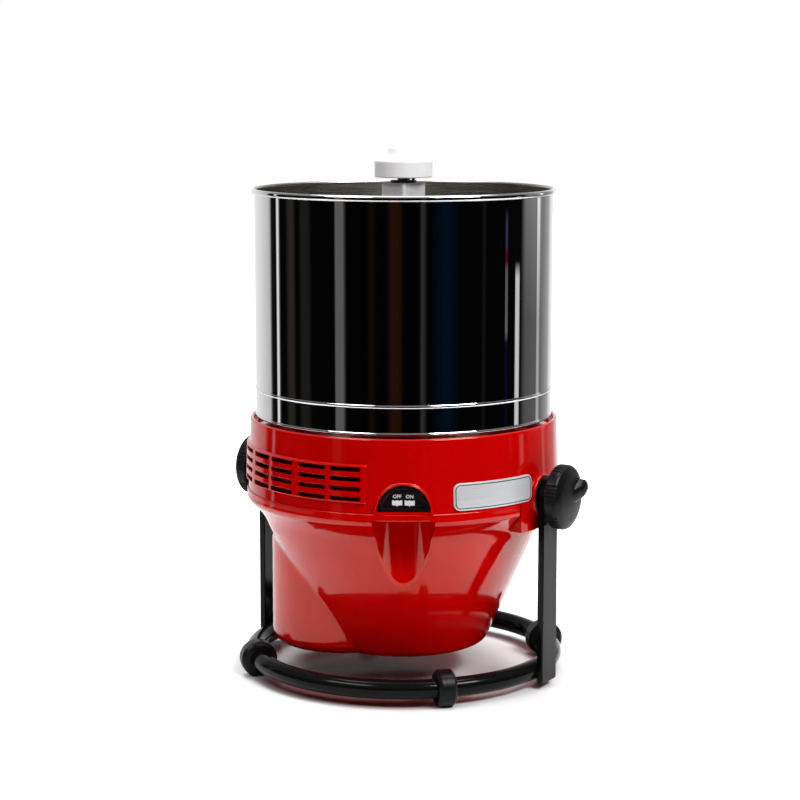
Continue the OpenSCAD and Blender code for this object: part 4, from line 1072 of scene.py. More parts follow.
    def outer(self, phi, z, h, w):
        """Radius of the outer face: the flared band, plus the louvre panel, less its slots, with
        the switch. Also gives the painted shade inside the slots: 0 at the face, 1 deep in a slot."""
        raised, sunk = self.louvres(phi, z, h)
        r = self.with_switch(band_radius(h, z) + raised - sunk, phi, z, h, w)
        return r, np.clip((sunk - self.dark_from) / self.dark_over, 0, 1)

    def tray(self, h):
        """Profile of the tray under the drum, from its hub out and over the top edge."""
        floor, rim, outer = h.deck_z + h.wall, h.deck_z + h.wall + self.hub_rim, self.hub + h.wall
        crest = h.top_r - h.wall / 2
        inner = crest - h.wall / 2
        return np.concatenate([
            [[self.hub, h.deck_z], [self.hub, rim - 0.0002], [self.hub + 0.0002, rim]],
            [[outer, rim], [outer, floor], [self.tray_row, floor]],
            [[inner - self.edge, floor], [inner, floor + self.edge]],
            arc(crest, h.top_z - h.wall / 2, h.wall / 2, 180, 0, 12),
        ])

    def execute(self, context):
        h, w = context.scene.melanger.housing, context.scene.melanger.switch
        phi = self.columns(h)[:, None]
        tray, z = self.tray(h), self.heights(h)
        r, hollow = self.outer(phi, z[None, :], h, w)
        # Columns on an ear go on down to its foot, and its inner face is flat across the tilt axis
        ear = np.abs(h.foot_r * np.cos(phi)) < h.ear_half
        foot = np.where(ear, h.ear_z, h.seam_z)
        low_z = z[-1] + (foot - z[-1]) * np.array([0.25, 0.5, 0.75, 0.9, 0.975])[None, :]
        low_r, _ = self.outer(phi, np.maximum(low_z, h.seam_z), h, w)
        edge_r = low_r[:, -1:]
        ear_r = h.ear_in / np.maximum(np.abs(np.sin(phi)), 0.5)
        under_r = np.where(ear, ear_r, edge_r - h.wall)
        wall_r = np.where(ear, ear_r, h.foot_r - h.wall)
        inner_r = h.top_r - h.wall
        # Radii and heights: over the tray, down the outer face, under the foot and up inside
        levels = [
            (tray[None, :, 0], tray[None, :, 1]), (r, z[None, :]), (low_r, low_z),
            (edge_r - self.nick, foot + self.nick), (edge_r - self.edge, foot),
            (under_r + self.edge, foot), (under_r, foot + self.edge),
            (wall_r, h.seam_z + 0.006), (wall_r, h.ear_top),
            (inner_r, h.ear_top + self.edge), (inner_r, h.deck_z - self.edge),
            (inner_r - self.edge, h.deck_z), (self.tray_row, h.deck_z),
        ]
        parts = [np.broadcast_arrays(*np.atleast_2d(*level), phi)[:2] for level in levels]
        grid = polar(phi, *(np.concatenate(rows, 1) for rows in zip(*parts)))
        mesh = skin("upper_housing_moulded", grid, along=True, poles=False)
        # The slots' painted shade goes to the red moulding as the hollow attribute, on the outer
        # face's rows
        dark = np.zeros(grid.shape[:2], np.float32)
        dark[:, len(tray):len(tray) + len(z)] = hollow
        mesh.attributes.new("hollow", "FLOAT", "POINT").data.foreach_set("value", dark.ravel())
        piece(mesh, "red_plastic", "upper_housing", sharp=50)
        self.pads()
        return {"FINISHED"}

    def pads(self):
        """Round pads on the ears that bear on the uprights: a short turned profile with an edge."""
        r, face, e = self.pad_r, self.pad_face, self.pad_edge
        profile = [
            [0, self.pad_in], [r, self.pad_in], [r, face - 0.00075], [r - 0.0003, face - 0.00025],
            [r - e, face], [0, face],
        ]
        for side, sign in SIDES:
            mesh = skin(f"{side}_pivot_pad", revolve_x(profile, 96, sign, TILT_Z))
            piece(mesh, "red_plastic", body="housing", slot="red_plastic")


class MELANGER_OT_lower_housing(bpy.types.Operator):
    """Moulds the lower housing: cone, flange, motor bulge and finger scoop as one hollow shell."""

    bl_idname = "melanger.lower_housing"
    bl_label = "Lower housing"

    # Widths of the round blends: cone to shoulder, shoulder to flange, bulge to cone, scoop's edge
    shoulder_k, flange_k, bulge_k, scoop_k = 0.006, 0.004, 0.0022, 0.0018
    # Height of the lip over the scoop, and its blend
    scoop_lip, lip_k = 0.005, 0.002
    # March along a ray: shares of the full radius where it starts and ends, and the points on it
    march = (0.55, 1.03, 72)
    # Spacing of the rows on the cone, the shoulder and the flange
    cone_row, shoulder_row, flange_row = 0.0019, 0.0009, 0.0004
    # Rows round the upper edge: inset, and drop below the split line
    edge_rows = ((0.00008, 0.0005), (0.0003, 0.0001), (0.0007, 0))

    def body_radius(self, phi, z, t, h):
        """Radius of the shell drawn in by t: the larger of a filleted cone with a flange and a
        filleted round bulge."""
        slope = (h.cone_r - h.cone_foot) / (h.cone_z - h.bottom_z)
        lean = math.atan(slope)
        foot_z, fillet = h.bottom_z + t, max(h.fillet - t, 0.001)
        foot_r = h.cone_foot - t / math.cos(lean) + t * slope
        rise = np.clip(z - foot_z, 0, fillet)
        curl = np.sqrt(fillet**2 - (fillet - rise) ** 2)
        bend = foot_r - fillet * math.tan((math.pi / 2 - lean) / 2) + curl
        straight = foot_r + (z - foot_z) * slope
        cone = np.where(z < foot_z + fillet * (1 - math.sin(lean)), bend, straight)
        rate = (h.flange_r - h.cone_r) / (h.shoulder_z - h.cone_z)
        shoulder = h.cone_r - t / math.cos(lean) + (z - h.cone_z) * rate
        cone = smooth_max(cone, shoulder, self.shoulder_k)
        cone = smooth_min(cone, h.flange_r - t, self.flange_k)
        off = phi - h.bulge_phi
        rho = h.bulge_r - t - fillet + curl
        bulge = h.bulge_e * np.cos(off) + np.sqrt(rho**2 - (h.bulge_e * np.sin(off)) ** 2)
        return smooth_max(cone, bulge, self.bulge_k)

    def radius(self, phi, z, t, h):
        """Marches out along each ray to the first point that leaves the solid: the shell less the
        scoop and the ear notches."""
        phi, z = np.broadcast_arrays(phi, z)
        full = self.body_radius(phi, z, t, h)
        r = full[..., None] * np.linspace(*self.march)
        a, level = phi[..., None], z[..., None]
        x, y = r * np.sin(a), -r * np.cos(a)
        cx, cy = h.scoop_e * math.sin(h.switch_phi), -h.scoop_e * math.cos(h.switch_phi)
        hollow = h.scoop_r + t - np.hypot(x - cx, y - cy)
        scoop = smooth_min(hollow, h.seam_z - self.scoop_lip + t - level, self.lip_k)
        ear = np.minimum(h.ear_half - np.abs(y), np.abs(x) - h.ear_in + t / 2)
        ear = np.minimum(ear, level - h.ear_z + t / 2)
        out = np.maximum(smooth_max(r - full[..., None], scoop, self.scoop_k), ear)
        last = np.argmax(out > 0, -1)[..., None]
        first = np.maximum(last - 1, 0)
        f0, f1 = np.take_along_axis(out, first, -1), np.take_along_axis(out, last, -1)
        r0, r1 = np.take_along_axis(r, first, -1), np.take_along_axis(r, last, -1)
        return (r0 + (r1 - r0) * np.clip(-f0 / np.where(f1 > f0, f1 - f0, 1), 0, 1))[..., 0]

    def execute(self, context):
        h = context.scene.melanger.housing
        scoop = math.degrees(h.switch_phi) + np.arange(-14, 14.01, 0.2)
        ears = ear_edges(h, np.arange(-0.4, 1.8, 0.2))
        phi = bearings([np.arange(-180, 180, 0.75), scoop, ears], 0.05)[:, None]
        curl = h.bottom_z + h.fillet * (1 - np.cos(np.linspace(0, np.pi / 2, 13)))
        rise = np.concatenate([
            curl, np.arange(curl[-1] + 0.0015, h.ear_z - 0.001, self.cone_row),
            h.ear_z + np.array([-0.0004, -0.0001, 0.0002, 0.001]),
            np.arange(h.ear_z + 0.0018, h.shoulder_z, self.shoulder_row),
            np.arange(h.shoulder_z, h.seam_z - 0.0008, self.flange_row),
        ])[None, :]
        floor = h.bottom_z + h.wall
        fall = np.concatenate([
            np.linspace(h.seam_z, h.ear_z, 12), np.linspace(h.ear_z - 0.002, floor, 14)
        ])[None, :]
        outer = self.radius(phi, rise, 0.0, h)
        inner = self.radius(phi, fall, h.wall, h)
        lip, foot = outer[:, -1:], inner[:, -1:]
        # Radii and heights: out under the floor, up the outer face, round the edge and down inside
        levels = [
            (outer[:, :1] * np.array([0, 0.3, 0.6, 0.85, 0.96])[None, :], h.bottom_z),
            (outer, rise), *((lip - inset, h.seam_z - drop) for inset, drop in self.edge_rows),
            (inner, fall), (foot * np.array([0.9, 0.5, 0])[None, :], floor),
        ]
        parts = [np.broadcast_arrays(*level) for level in levels]
        grid = polar(phi, *(np.concatenate(rows, 1) for rows in zip(*parts)))
        piece(skin("lower_housing_moulded", grid), "red_plastic", "lower_housing", sharp=60)
        return {"FINISHED"}


class MELANGER_OT_badge(bpy.types.Operator):
    """Presses the blank badge: a raised border, an inked groove and a brushed face, bent to the
    band."""

    bl_idname = "melanger.badge"
    bl_label = "Blank badge"

    # Border from the edge in: inset and rise of each row, and where the ink starts and ends
    border = (
        (0, 0.0001), (0, 0.0007), (0.0001, 0.001), (0.0005, 0.0012), (0.0012, 0.0012),
        (0.00135, 0.001), (0.0018, 0.001), (0.00195, 0.00115), (0.0024, 0.0012),
    )
    inked = (4, 7)
    # How far the back stands off the band
    off_band = 0.00005

    def execute(self, context):
        h, w = context.scene.melanger.housing, context.scene.melanger.switch
        shares = np.linspace(0, 1, 15)
        inset, face = self.border[-1]
        # Rows: the back from its middle out, the border, and the face back in to its middle
        rows = [(0, k, 0.0) for k in shares] + [(i, 1, rise) for i, rise in self.border]
        rows += [(inset, k, face) for k in shares[-2::-1]]
        corner = w.badge_h / 4

        def row(inset, share, rise):
            """Rounded outline, inset and drawn in to a share, laid on the band with a rise."""
            wide, high = w.badge_w - 2 * inset, w.badge_h - 2 * inset
            flat = round_rect(wide, high, corner - inset, 10, 40) * share
            z = w.badge_z + flat[:, 1]
            r = band_radius(h, z) + self.off_band
            return polar(w.badge_phi + np.arcsin(flat[:, 0] / r), r + rise, z), flat

        made = [row(*line) for line in rows]
        grid, flat = (np.stack(part, 1) for part in zip(*made))
        uv = np.concatenate([flat, flat[:1]], 0)
        groove = np.zeros(len(rows), int)
        start, stop = self.inked
        groove[len(shares) + start:len(shares) + stop] = 1
        mesh = skin("badge_blank", grid, uv=uv, row_finish=groove)
        piece(mesh, "badge_silver badge_line", "badge_plate", sharp=40)
        return {"FINISHED"}


class MELANGER_OT_switch(bpy.types.Operator):
    """Makes the half-moon bezel, the rocker on its upright pin and the printed marks on it."""

    bl_idname = "melanger.switch"
    bl_label = "Switch"

    # Distance of the pin behind the face, depth of the bezel, gap round the rocker
    pin_in, bezel_deep, gap = 0.0015, 0.005, 0.0005
    # The rocker's face at its middle, its rise to the sides over a half width, and its back
    middle, rise, half, back = 0.0010, 0.0005, 0.016, -0.0015
    # Printed words and marks: size of the letters, ink, place across, and heights of both
    letters, ink, word_across, word_up, mark_up = 0.0036, 0.00003, 0.0046, 0.0112, 0.0066
    # How far a mark stands off the face
    mark_off = 0.00002

    def place(self, h, w, ahead, across, up, tilt=0.0):
        """Points of the switch, turned by a tilt about its pin: ahead of the pin along the switch's
        bearing, across to the right, and up from its foot."""
        ahead, across, up = np.broadcast_arrays(ahead, across, up)
        c, s = math.cos(tilt), math.sin(tilt)
        out = w.face - self.pin_in + ahead * c - across * s
        side = ahead * s + across * c
        x = out * math.sin(h.switch_phi) + side * math.cos(h.switch_phi)
        y = -out * math.cos(h.switch_phi) + side * math.sin(h.switch_phi)
        return np.stack([x, y, w.foot_z + up], -1)

    def valley(self, across):
        """Face of the rocker: lowest along its middle and rising evenly to both sides."""
        return self.middle + self.rise * np.abs(across) / self.half

    def execute(self, context):
        h, w = context.scene.melanger.housing, context.scene.melanger.switch
        self.bezel(h, w)
        self.rocker(h, w)
        for text, across in (("OFF", -self.word_across), ("ON", self.word_across)):
            self.word(h, w, text, across, self.word_up)
            self.mark(h, w, text.lower(), across, self.mark_up)
        return {"FINISHED"}

    def bezel(self, h, w):
        """Half-moon frame: outlines of a radius and a foot, set at their distances in front, from
        the outer back edge over the rounded front to the inner back edge."""
        r, inner, front, b = w.radius - 0.00005, w.radius - w.border, self.pin_in, w.border
        rows = [
            (r, 0.0001, front - self.bezel_deep), (r, 0.0001, front - 0.0008),
            (r - 0.00012, 0.0002, front - 0.0003), (r - 0.0004, 0.0004, front - 0.00005),
            (r - 0.0008, 0.0008, front), (inner + 0.0006, b - 0.0006, front - 0.0001),
            (inner + 0.0002, b - 0.0002, front - 0.0003), (inner, b, front - 0.0008),
            (inner, b, front - self.bezel_deep),
        ]
        grid = np.stack([self.place(h, w, x, *half_moon(r, foot).T) for r, foot, x in rows], 1)
        mesh = skin("switch_bezel_moulded", grid, along=True, poles=False)
        piece(mesh, "black_plastic", "switch_bezel", sharp=45)

    def rocker(self, h, w):
        """Half-moon key: its outline drawn in towards the middle by shares, flat behind and along
        the valley in front."""
        key, foot = w.radius - w.border - self.gap, w.border + self.gap
        outline, centre = half_moon(key, foot), np.array([0, (key + foot) / 2])

        def row(inset, x):
            """Outline drawn in by a share, at a distance from the valley or from the pin."""
            across, up = (outline + (centre - outline) * inset).T
            ahead = x if x == self.back else self.valley(across) + x
            return self.place(h, w, ahead, across, up, w.tilt)

        rows = [(1, self.back), (0, self.back), (0, -0.0007), (0.012, -0.0002)]
        rows += [(inset, 0) for inset in (0.04, 0.3, 0.6, 1)]
        mesh = skin("switch_rocker_key", np.stack([row(*line) for line in rows], 1))
        piece(mesh, "black_plastic", "switch_rocker", sharp=45)

    def word(self, h, w, text, across, up):
        """A short word as raised ink: the letters' flat mesh laid on the rocker's face."""
        curve = bpy.data.curves.new(f"word_{text}", "FONT")
        curve.body, curve.size = text, self.letters
        curve.align_x, curve.align_y = "CENTER", "CENTER"
        curve.extrude, curve.offset = self.ink, 2 * self.ink
        flat = bpy.data.objects.new(f"word_{text}", curve)
        bpy.context.scene.collection.objects.link(flat)
        depsgraph = bpy.context.evaluated_depsgraph_get()
        mesh = bpy.data.meshes.new_from_object(flat.evaluated_get(depsgraph))
        bpy.data.objects.remove(flat)
        co = np.zeros(len(mesh.vertices) * 3, np.float32)
        mesh.vertices.foreach_get("co", co)
        x, y, z = co.reshape(-1, 3).astype(float).T
        ahead = self.valley(across + x) + self.ink + z
        laid = self.place(h, w, ahead, across + x, up + y, w.tilt)
        mesh.vertices.foreach_set("co", laid.astype(np.float32).ravel())
        mesh.name = f"switch_word_{text.lower()}"
        mesh.materials.clear()
        mesh.update()
        piece(mesh, "white_ink", body="rocker", slot="white_plastic")

    def mark(self, h, w, name, across, up):
        """A printed block with a small point below and two notches above: its outline as two ink
        layers a hair apart, joined at the rim. Its points are in millimetres."""
        wide, high, point, sill = 3.7, 1.9, 3.0, 1.4
        right = [
            (0, -point), (0.8, -high), (wide, -high), (wide, high), (2.6, high), (2.2, sill),
            (1.2, sill), (0.8, high),
        ]
        left = [(-x, y) for x, y in right[:0:-1]]
        outline = np.array(right + left) * MM
        rows = [(0.0, 0.0), (1.0, 0.0), (1.0, 2 * self.ink), (0.0, 2 * self.ink)]
        grid = np.stack([
            self.place(
                h, w, self.valley(across + outline[:, 0] * k) + self.mark_off + lift,
                across + outline[:, 0] * k, up + outline[:, 1] * k, w.tilt,
            )
            for k, lift in rows
        ], 1)
        mesh = skin(f"switch_mark_{name}", grid)
        piece(mesh, "white_ink", body="rocker", slot="white_plastic", sharp=30)


class MELANGER_OT_clamps(bpy.types.Operator):
    """Moulds the two clamp knobs: a neck, a rim with groups of ribs, a domed face and a grip that
    rises to one end."""

    bl_idname = "melanger.clamps"
    bl_label = "Clamp knobs"

    # Bore for the stud and how far it goes past the neck; the bend from the neck to the rim, and
    # the rim's back edge
    bore, bore_in, neck_edge, rim_edge = 0.00405, 0.0045, 0.001, 0.0012
    # Small edges at the mouth of the bore and the neck's foot, and a row above the rim's back
    mouth_e, foot_e, rim_row = 0.0003, 0.0004, 0.0025
    # Angle where the shoulder meets the face, and the blend between them
    lean, face_k = 66, 0.0008
    # Groups of ribs: angle of a group, grooves in it, their spacing and half width, in degrees
    group_a, grooves, groove_a, groove_half = 60, 6, 7, 2.3
    # How far in from the rim a groove starts, and the run over which it deepens
    groove_in, groove_run = 0.0013, 0.0009
    # The grip: drop and width of its round top edge, width of its sides, its blend into the dome
    edge_drop, edge_w, side_w, grip_k = 0.004, 0.006, 0.0008, 0.0012
    # Shares of its length, from the middle, where its top starts to rise and where it is up
    rise_from, rise_to = -1 / 6, 1 / 4

    def execute(self, context):
        s = context.scene.melanger.stand
        rim, neck, low, high = s.clamp_d / 2, s.neck_d / 2, s.neck_h, s.neck_h + s.clamp_t
        a = full_turn(720)
        bore, deep, n, e = self.bore, s.neck_h + self.bore_in, self.neck_edge, self.rim_edge
        shoulder = arc(rim - s.shoulder, high - s.shoulder, s.shoulder, 0, self.lean, 12)
        end_r, end_x = shoulder[-1]
        outer = np.concatenate([
            [[bore, deep], [bore, self.mouth_e], [bore + self.mouth_e, 0.0]],
            [[neck - self.foot_e, 0.0], [neck, self.foot_e]],
            arc(neck + n, low - n, n, 180, 90, 4),
            arc(rim - e, low + e, e, -90, 0, 6),
            [[rim, low + self.rim_row]],
            shoulder,
        ])
        # The face is a cap of a ball, cut by the cone that goes on from the shoulder
        ball = (rim**2 + s.dome**2) / (2 * s.dome)
        r_face = np.linspace(end_r - 0.0003, 0, 96)
        dome = high + s.dome - ball + np.sqrt(ball**2 - r_face**2)
        cone = end_x + (end_r - r_face) / math.tan(math.radians(self.lean))
        dome = smooth_min(dome, cone, self.face_k)
        # The grooves take their depth off the radius on the outer side of the rim alone
        depth = np.clip((outer[:, 0] - rim + self.groove_in) / self.groove_run, 0, 1)
        on_rim = depth * (outer[:, 1] > low)
        ribbed = outer[None, :, 0] - self.ribs(s, a) * on_rim[None, :]
        # Places on the face along and across the grip
        along, across = (r_face[None, :] * turn(a - s.grip_turn) for turn in (np.cos, np.sin))
        lift = self.grip(s, along, across, high, dome)
        radii = np.concatenate([ribbed, np.broadcast_to(r_face[None, :], lift.shape)], 1)
        x = np.concatenate([np.broadcast_to(outer[None, :, 1], ribbed.shape), lift], 1)
        for side, sign in SIDES:
            knob = [sign * (CLAMP_X + x), radii * np.cos(a), TILT_Z + radii * np.sin(a)]
            first = np.array([sign * (CLAMP_X + deep), 0, TILT_Z])
            first = np.broadcast_to(first, (len(a), 1, 3))
            grid = np.concatenate([first, np.stack(knob, -1)], 1)
            piece(skin(f"{side}_clamp_moulded", grid), "black_plastic", f"{side}_clamp_knob")
        return {"FINISHED"}

    def ribs(self, s, a):
        """Depth of the round grooves at an angle: a half circle about the nearest groove of the
        group."""
        spots = self.groove_a * np.arange(self.grooves)
        place = np.degrees(a - s.rib_turn) % self.group_a + spots[-1] / 2
        half = self.group_a / 2
        near = np.abs((place + half) % self.group_a - half - spots[None, :])
        near = near.min(1, keepdims=True)
        return s.rib * np.sqrt(np.clip(1 - (near / self.groove_half) ** 2, 0, 1))

    def grip(self, s, along, across, high, dome):
        """Height of the knob's face: the dome, and over it a round-ended ridge whose top slopes up
        to its raised end."""
        core = np.clip(np.abs(along) - (s.grip_l - s.grip_w) / 2, 0, None)
        inside = s.grip_w / 2 - np.hypot(core, across)
        tip = high + s.dome + s.grip_h
        rise = (along / s.grip_l - self.rise_from) / (self.rise_to - self.rise_from)
        top = np.minimum(high + rise * (tip - high), tip)
        fall = np.clip(1 - inside / self.edge_w, 0, 1)
        top = top - self.edge_drop * (1 - np.sqrt(1 - fall**2))
        ridge = np.where(inside > -self.side_w / 2, top, 0) * ramp(inside, 0, self.side_w)
        return smooth_max(dome[None, :] * np.ones_like(along), ridge, self.grip_k)


class MELANGER_OT_stand(bpy.types.Operator):
    """Bends the base ring, cuts the uprights and turns the foot collars."""

    bl_idname = "melanger.stand"
    bl_label = "Stand"

    # An upright's bore, corner radius, and the row of its face inside the round edge
    bore, corner, face_in = 0.00705, 0.002, 0.0006
    # A collar's chamfer, edge and fit round the tube
    chamfer, edge, fit = 0.002, 0.0006, 0.00005

    def execute(self, context):
        s = context.scene.melanger.stand
        # The ring is a circle carried round the upright axis
        tube = arc(s.ring_r, s.ring_z, s.tube / 2, 0, 360, 48)[:-1]
        mesh = skin("base_ring_tube", revolve(tube, 360), along=True, poles=False)
        piece(mesh, "black_paint", "base_ring")
        for side, sign in SIDES:
            self.upright(s, side, sign)
        for name, degrees in (
            ("front_left", -45), ("front_right", 45), ("rear_left", -135), ("rear_right", 135)
        ):
            self.foot(s, name, math.radians(degrees))
        return {"FINISHED"}

    def upright(self, s, side, sign):
        """A flat bar with a round top and a bore: its outline and the bore's circle joined over
        two faces with round edges."""
        half, e, c, foot = s.bar_w / 2, s.bar_edge, self.corner, BAR_LOW.z
        drop = np.linspace(TILT_Z, foot + c, 40)[1:]
        outline = np.concatenate([
            arc(0, TILT_Z, half, 0, 180, 40),
            np.stack([np.full(len(drop), -half), drop], -1),
            arc(-half + c, foot + c, c, 180, 270, 5)[1:-1],
            np.stack([np.linspace(-half + c, half - c, 16), np.full(16, foot)], -1),
            arc(half - c, foot + c, c, 270, 360, 5)[1:-1],
            np.stack([np.full(len(drop), half), drop[::-1]], -1),
        ])
        centre = np.array([0, TILT_Z])
        away = outline - centre
        circle = centre + self.bore * away / np.linalg.norm(away, axis=1, keepdims=True)
        tangent = np.roll(outline, -1, 0) - np.roll(outline, 1, 0)
        inward = np.stack([-tangent[:, 1], tangent[:, 0]], -1)
        inward = inward / np.linalg.norm(inward, axis=1, keepdims=True)
        low, high = BAR_LOW.x, BAR_HIGH.x
        turn = np.radians(np.linspace(0, 90, 6))
        curl = [(e * (1 - math.sin(t)), e * (1 - math.cos(t))) for t in turn]
        face = outline + inward * (e + self.face_in)
        rows = [(circle, low), (face, low)]
        rows += [(outline + inward * inset, low + rise) for inset, rise in curl]
        rows += [(outline + inward * inset, high - rise) for rise, inset in curl]
        rows += [(face, high), (circle, high)]
        grid = np.stack([np.insert(flat, 0, sign * x, axis=1) for flat, x in rows], 1)
        mesh = skin(f"{side}_upright_bar", grid, along=True, poles=False)
        piece(mesh, "black_paint", f"{side}_upright")

    def foot(self, s, name, phi):
        """A chamfered collar turned about the ring's tangent, with its lowest side pressed flat at
        the table."""
        full, half, bore = s.foot_d / 2, s.foot_l / 2, s.tube / 2 + self.fit
        c, e = self.chamfer, self.edge
        end = np.array([
            [bore, half], [full - c - e, half], [full - c, half - e * 0.3],
            [full - e * 0.4, half - c + e * 0.3], [full, half - c - e * 0.4],
            [full, half - c - e * 1.4],
        ])
        profile = np.concatenate([end * [1, -1], end[::-1]])
        a = full_turn(144)
        r, along = profile[None, :, 0], profile[None, :, 1]
        out = s.ring_r + r * np.cos(a)
        up = np.maximum(s.ring_z + r * np.sin(a), 0.0)
        x = out * math.sin(phi) + along * math.cos(phi)
        y = -out * math.cos(phi) + along * math.sin(phi)
        mesh = skin(f"{name}_foot_collar", np.stack([x, y, up], -1), along=True, poles=False)
        piece(mesh, "black_plastic", f"{name}_foot", sharp=50)


class MELANGER_OT_rollers(bpy.types.Operator):
    """Turns the stones and makes the square holder."""

    bl_idname = "melanger.rollers"
    bl_label = "Stones and holder"

    # The base stone: bore, edge at the bore, chamfer, and rows across its top
    base_bore, bore_edge, base_c, base_rows = 0.0089, 0.001, 0.002, (0.09, 0.06, 0.03)
    # A roller: chamfer, the edges beside it, and their roundness
    roller_c, roller_e, roller_k = 0.0025, 0.0006, 0.0002
    # The holder: corner, top edge, bore and thickness of the cap, and the row below the top
    corner, edge, cap_bore, cap, top_row = 0.0025, 0.0006, 0.00605, 0.004, 0.02

    def execute(self, context):
        s = context.scene.melanger.rollers
        low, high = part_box("base_stone")
        out, top, bore, c = high.x, high.z, self.base_bore, self.base_c
        # Profile of the base stone, from its bore out over the chamfer and back across the top
        stone = np.concatenate([
            [[bore, low.z], [out, low.z], [out, top - c], [out - c * 0.2, top - c * 0.5]],
            [[out - c, top], [out - 2 * c, top]],
            [[r, top] for r in (*self.base_rows, bore + self.bore_edge)],
            [[bore, top - self.bore_edge]],
        ])
        mesh = skin("base_stone_dressed", revolve(stone, 240), along=True, poles=False)
        piece(mesh, "granite", "base_stone")
        profile = self.roller(s)
        for side, sign in SIDES:
            grid = self.turned(revolve_x(profile, 160, sign, s.axis_z), s.turn)
            mesh = skin(f"{side}_roller_dressed", grid, along=True, poles=False)
            piece(mesh, "granite", f"{side}_roller_stone", sharp=50)
        self.holder(s)
        return {"FINISHED"}

    def roller(self, s):
        """Profile of a roller stone: a bore, two chamfered ends and a straight face in thirds."""
        r, start, end = s.stone_r, s.stone_in, s.stone_in + s.stone_l
        c, e, k = self.roller_c, self.roller_e, self.roller_k
        inset = np.array([[s.bore, 0], [r - c - e, 0], [r - c, k], [r - k, c], [r, c + e]])
        face = [[r, start + s.stone_l / 3], [r, start + s.stone_l * 2 / 3]]
        return np.concatenate([inset + [0, start], face, inset[::-1] * [1, -1] + [0, end]])

    def turned(self, grid, angle):
        """Points turned about the upright axis."""
        c, k = math.cos(angle), math.sin(angle)
        x, y, z = np.moveaxis(grid, -1, 0)
        return np.stack([x * c - y * k, x * k + y * c, z], -1)

    def holder(self, s):
        """Square tube with round corners, closed by a cap with a bore: outlines carried up, over
        the cap and down inside."""
        low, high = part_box("roller_holder")
        foot, top, e = low.z, high.z, self.edge

        def ring(inset):
            """The tube's outline drawn in by an inset."""
            side = s.stem - 2 * inset
            return round_rect(side, side, max(self.corner - inset, 0.0005), 10)

        outline, inside = ring(0), ring(s.stem_wall)
        hole = outline / np.linalg.norm(outline, axis=1, keepdims=True) * self.cap_bore
        rows = [
            (outline, foot), (outline, top - self.top_row), (outline, top - e),
            (ring(e * 0.3), top - e * 0.3), (ring(e), top), (hole, top), (hole, top - self.cap),
            (inside, top - self.cap), (inside, foot),
        ]
        grid = np.stack([np.insert(flat, 2, z, axis=1) for flat, z in rows], 1)
        mesh = skin("roller_holder_square", self.turned(grid, s.turn), along=True, poles=False)
        piece(mesh, "stem_steel", "roller_holder", sharp=40)


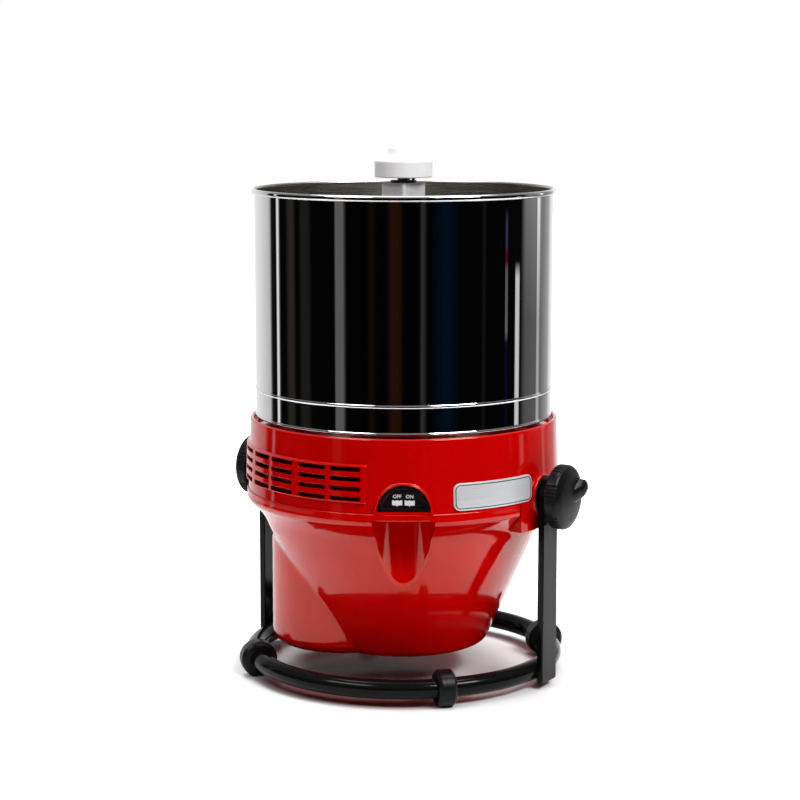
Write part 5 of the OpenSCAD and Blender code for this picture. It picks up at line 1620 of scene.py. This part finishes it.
class MELANGER_OT_tension(bpy.types.Operator):
    """Turns the white tension knob and winds the spring under it."""

    bl_idname = "melanger.tension"
    bl_label = "Tension knob and spring"

    # The knob's pocket for the spring and its bore for the insert: radius and height of each
    pocket, pocket_h, bore, bore_h = 0.0107, 0.0125, 0.00805, 0.0195
    # Radii of its edges: foot, disc, the bend up to the boss, the boss, and the pocket's mouth
    foot_e, disc_e, bend, boss_e, mouth_e = 0.001, 0.003, 0.0012, 0.002, 0.0004

    def execute(self, context):
        s = context.scene.melanger.rollers
        z, r, b, e = s.knob_z, s.knob_r, s.boss_r, self.mouth_e
        disc_z = z + s.disc_h
        # Profile of the knob: bore and pocket below, then up over the disc and the boss
        profile = np.concatenate([
            [[0, z + self.bore_h], [self.bore, z + self.bore_h], [self.bore, z + self.pocket_h]],
            [[self.pocket, z + self.pocket_h], [self.pocket, z + e], [self.pocket + e, z]],
            arc(r - self.foot_e, z + self.foot_e, self.foot_e, -90, 0, 5),
            arc(r - self.disc_e, disc_z - self.disc_e, self.disc_e, 0, 90, 10),
            arc(b + self.bend, disc_z + self.bend, self.bend, 270, 180, 6),
            arc(b - self.boss_e, s.knob_top - self.boss_e, self.boss_e, 0, 90, 8),
            [[b - 2 * self.boss_e, s.knob_top], [0, s.knob_top]],
        ])
        mesh = skin("tension_knob_turned", revolve(profile, 160))
        piece(mesh, "white_plastic", "tension_knob", sharp=50)
        self.spring(s)
        return {"FINISHED"}

    def spring(self, s):
        """Round wire along a helix: a circle carried square to the path, whose height rises evenly
        with the turn."""
        low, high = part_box("tension_spring")
        wire = s.spring_wire / 2
        t = np.linspace(0, 1, 181)
        turn = 2 * np.pi * s.spring_turns * t
        rise = low.z + wire + (high.z - low.z - 2 * wire) * t
        out = np.stack([np.cos(turn), np.sin(turn), np.zeros_like(turn)], -1)
        path = np.stack([s.spring_r * np.cos(turn), s.spring_r * np.sin(turn), rise], -1)
        along = np.gradient(path, axis=0)
        along /= np.linalg.norm(along, axis=1, keepdims=True)
        up = np.cross(along, out)
        a = full_turn(16)[..., None]
        ringed = path[None] + wire * (np.cos(a) * out[None] + np.sin(a) * up[None])
        first, last = (np.broadcast_to(path[k], (len(a), 1, 3)) for k in (0, -1))
        mesh = skin("tension_spring_wound", np.concatenate([first, ringed, last], 1))
        # The spring is finished near black, painted shade for the gap under the knob
        piece(mesh, "black_oxide", "tension_spring", sharp=50)


class MELANGER_OT_inner_pieces(bpy.types.Operator):
    """Gives the frame's own solids that stay in view their finishes."""

    bl_idname = "melanger.inner_pieces"
    bl_label = "Inner pieces"

    def execute(self, context):
        for name, obj in frame["nodes"].items():
            # The spring washer gets the spring's near-black finish, painted shade for the gap under
            # the knob
            made = finish("black_oxide" if name == "spring_washer" else NODE_SLOT[name])
            if obj.material_slots:
                for slot in obj.material_slots:
                    slot.material = made
            else:
                obj.data.materials.append(made)
        return {"FINISHED"}


GROUPS = (
    DrumSizes, HousingSizes, SwitchSizes, StandSizes, RollerSizes, FinishColours, StudioSettings,
    MelangerSettings,
)
OPERATORS = (
    MELANGER_OT_stage, MELANGER_OT_inner_pieces, MELANGER_OT_drum, MELANGER_OT_upper_housing,
    MELANGER_OT_lower_housing, MELANGER_OT_badge, MELANGER_OT_switch, MELANGER_OT_clamps,
    MELANGER_OT_stand, MELANGER_OT_rollers, MELANGER_OT_tension,
)


class MELANGER_PT_panel(bpy.types.Panel):
    """Lists the melanger's pieces in the sidebar."""

    bl_idname = "MELANGER_PT_panel"
    bl_label = "Melanger"
    bl_space_type = "VIEW_3D"
    bl_region_type = "UI"
    bl_category = "Melanger"

    def draw(self, context):
        for operator in OPERATORS:
            self.layout.operator(operator.bl_idname)


def register():
    """Registers the settings, the operators and the panel."""
    for cls in (*GROUPS, *OPERATORS, MELANGER_PT_panel):
        bpy.utils.register_class(cls)
    bpy.types.Scene.melanger = bpy.props.PointerProperty(type=MelangerSettings)


def unregister():
    """Takes the panel, the operators and the settings out again."""
    del bpy.types.Scene.melanger
    for cls in reversed((*GROUPS, *OPERATORS, MELANGER_PT_panel)):
        bpy.utils.unregister_class(cls)


def main():
    """Makes the pieces in order."""
    register()
    for operator in OPERATORS:
        group, name = operator.bl_idname.split(".")
        getattr(getattr(bpy.ops, group), name)()


if __name__ == "__main__":
    main()
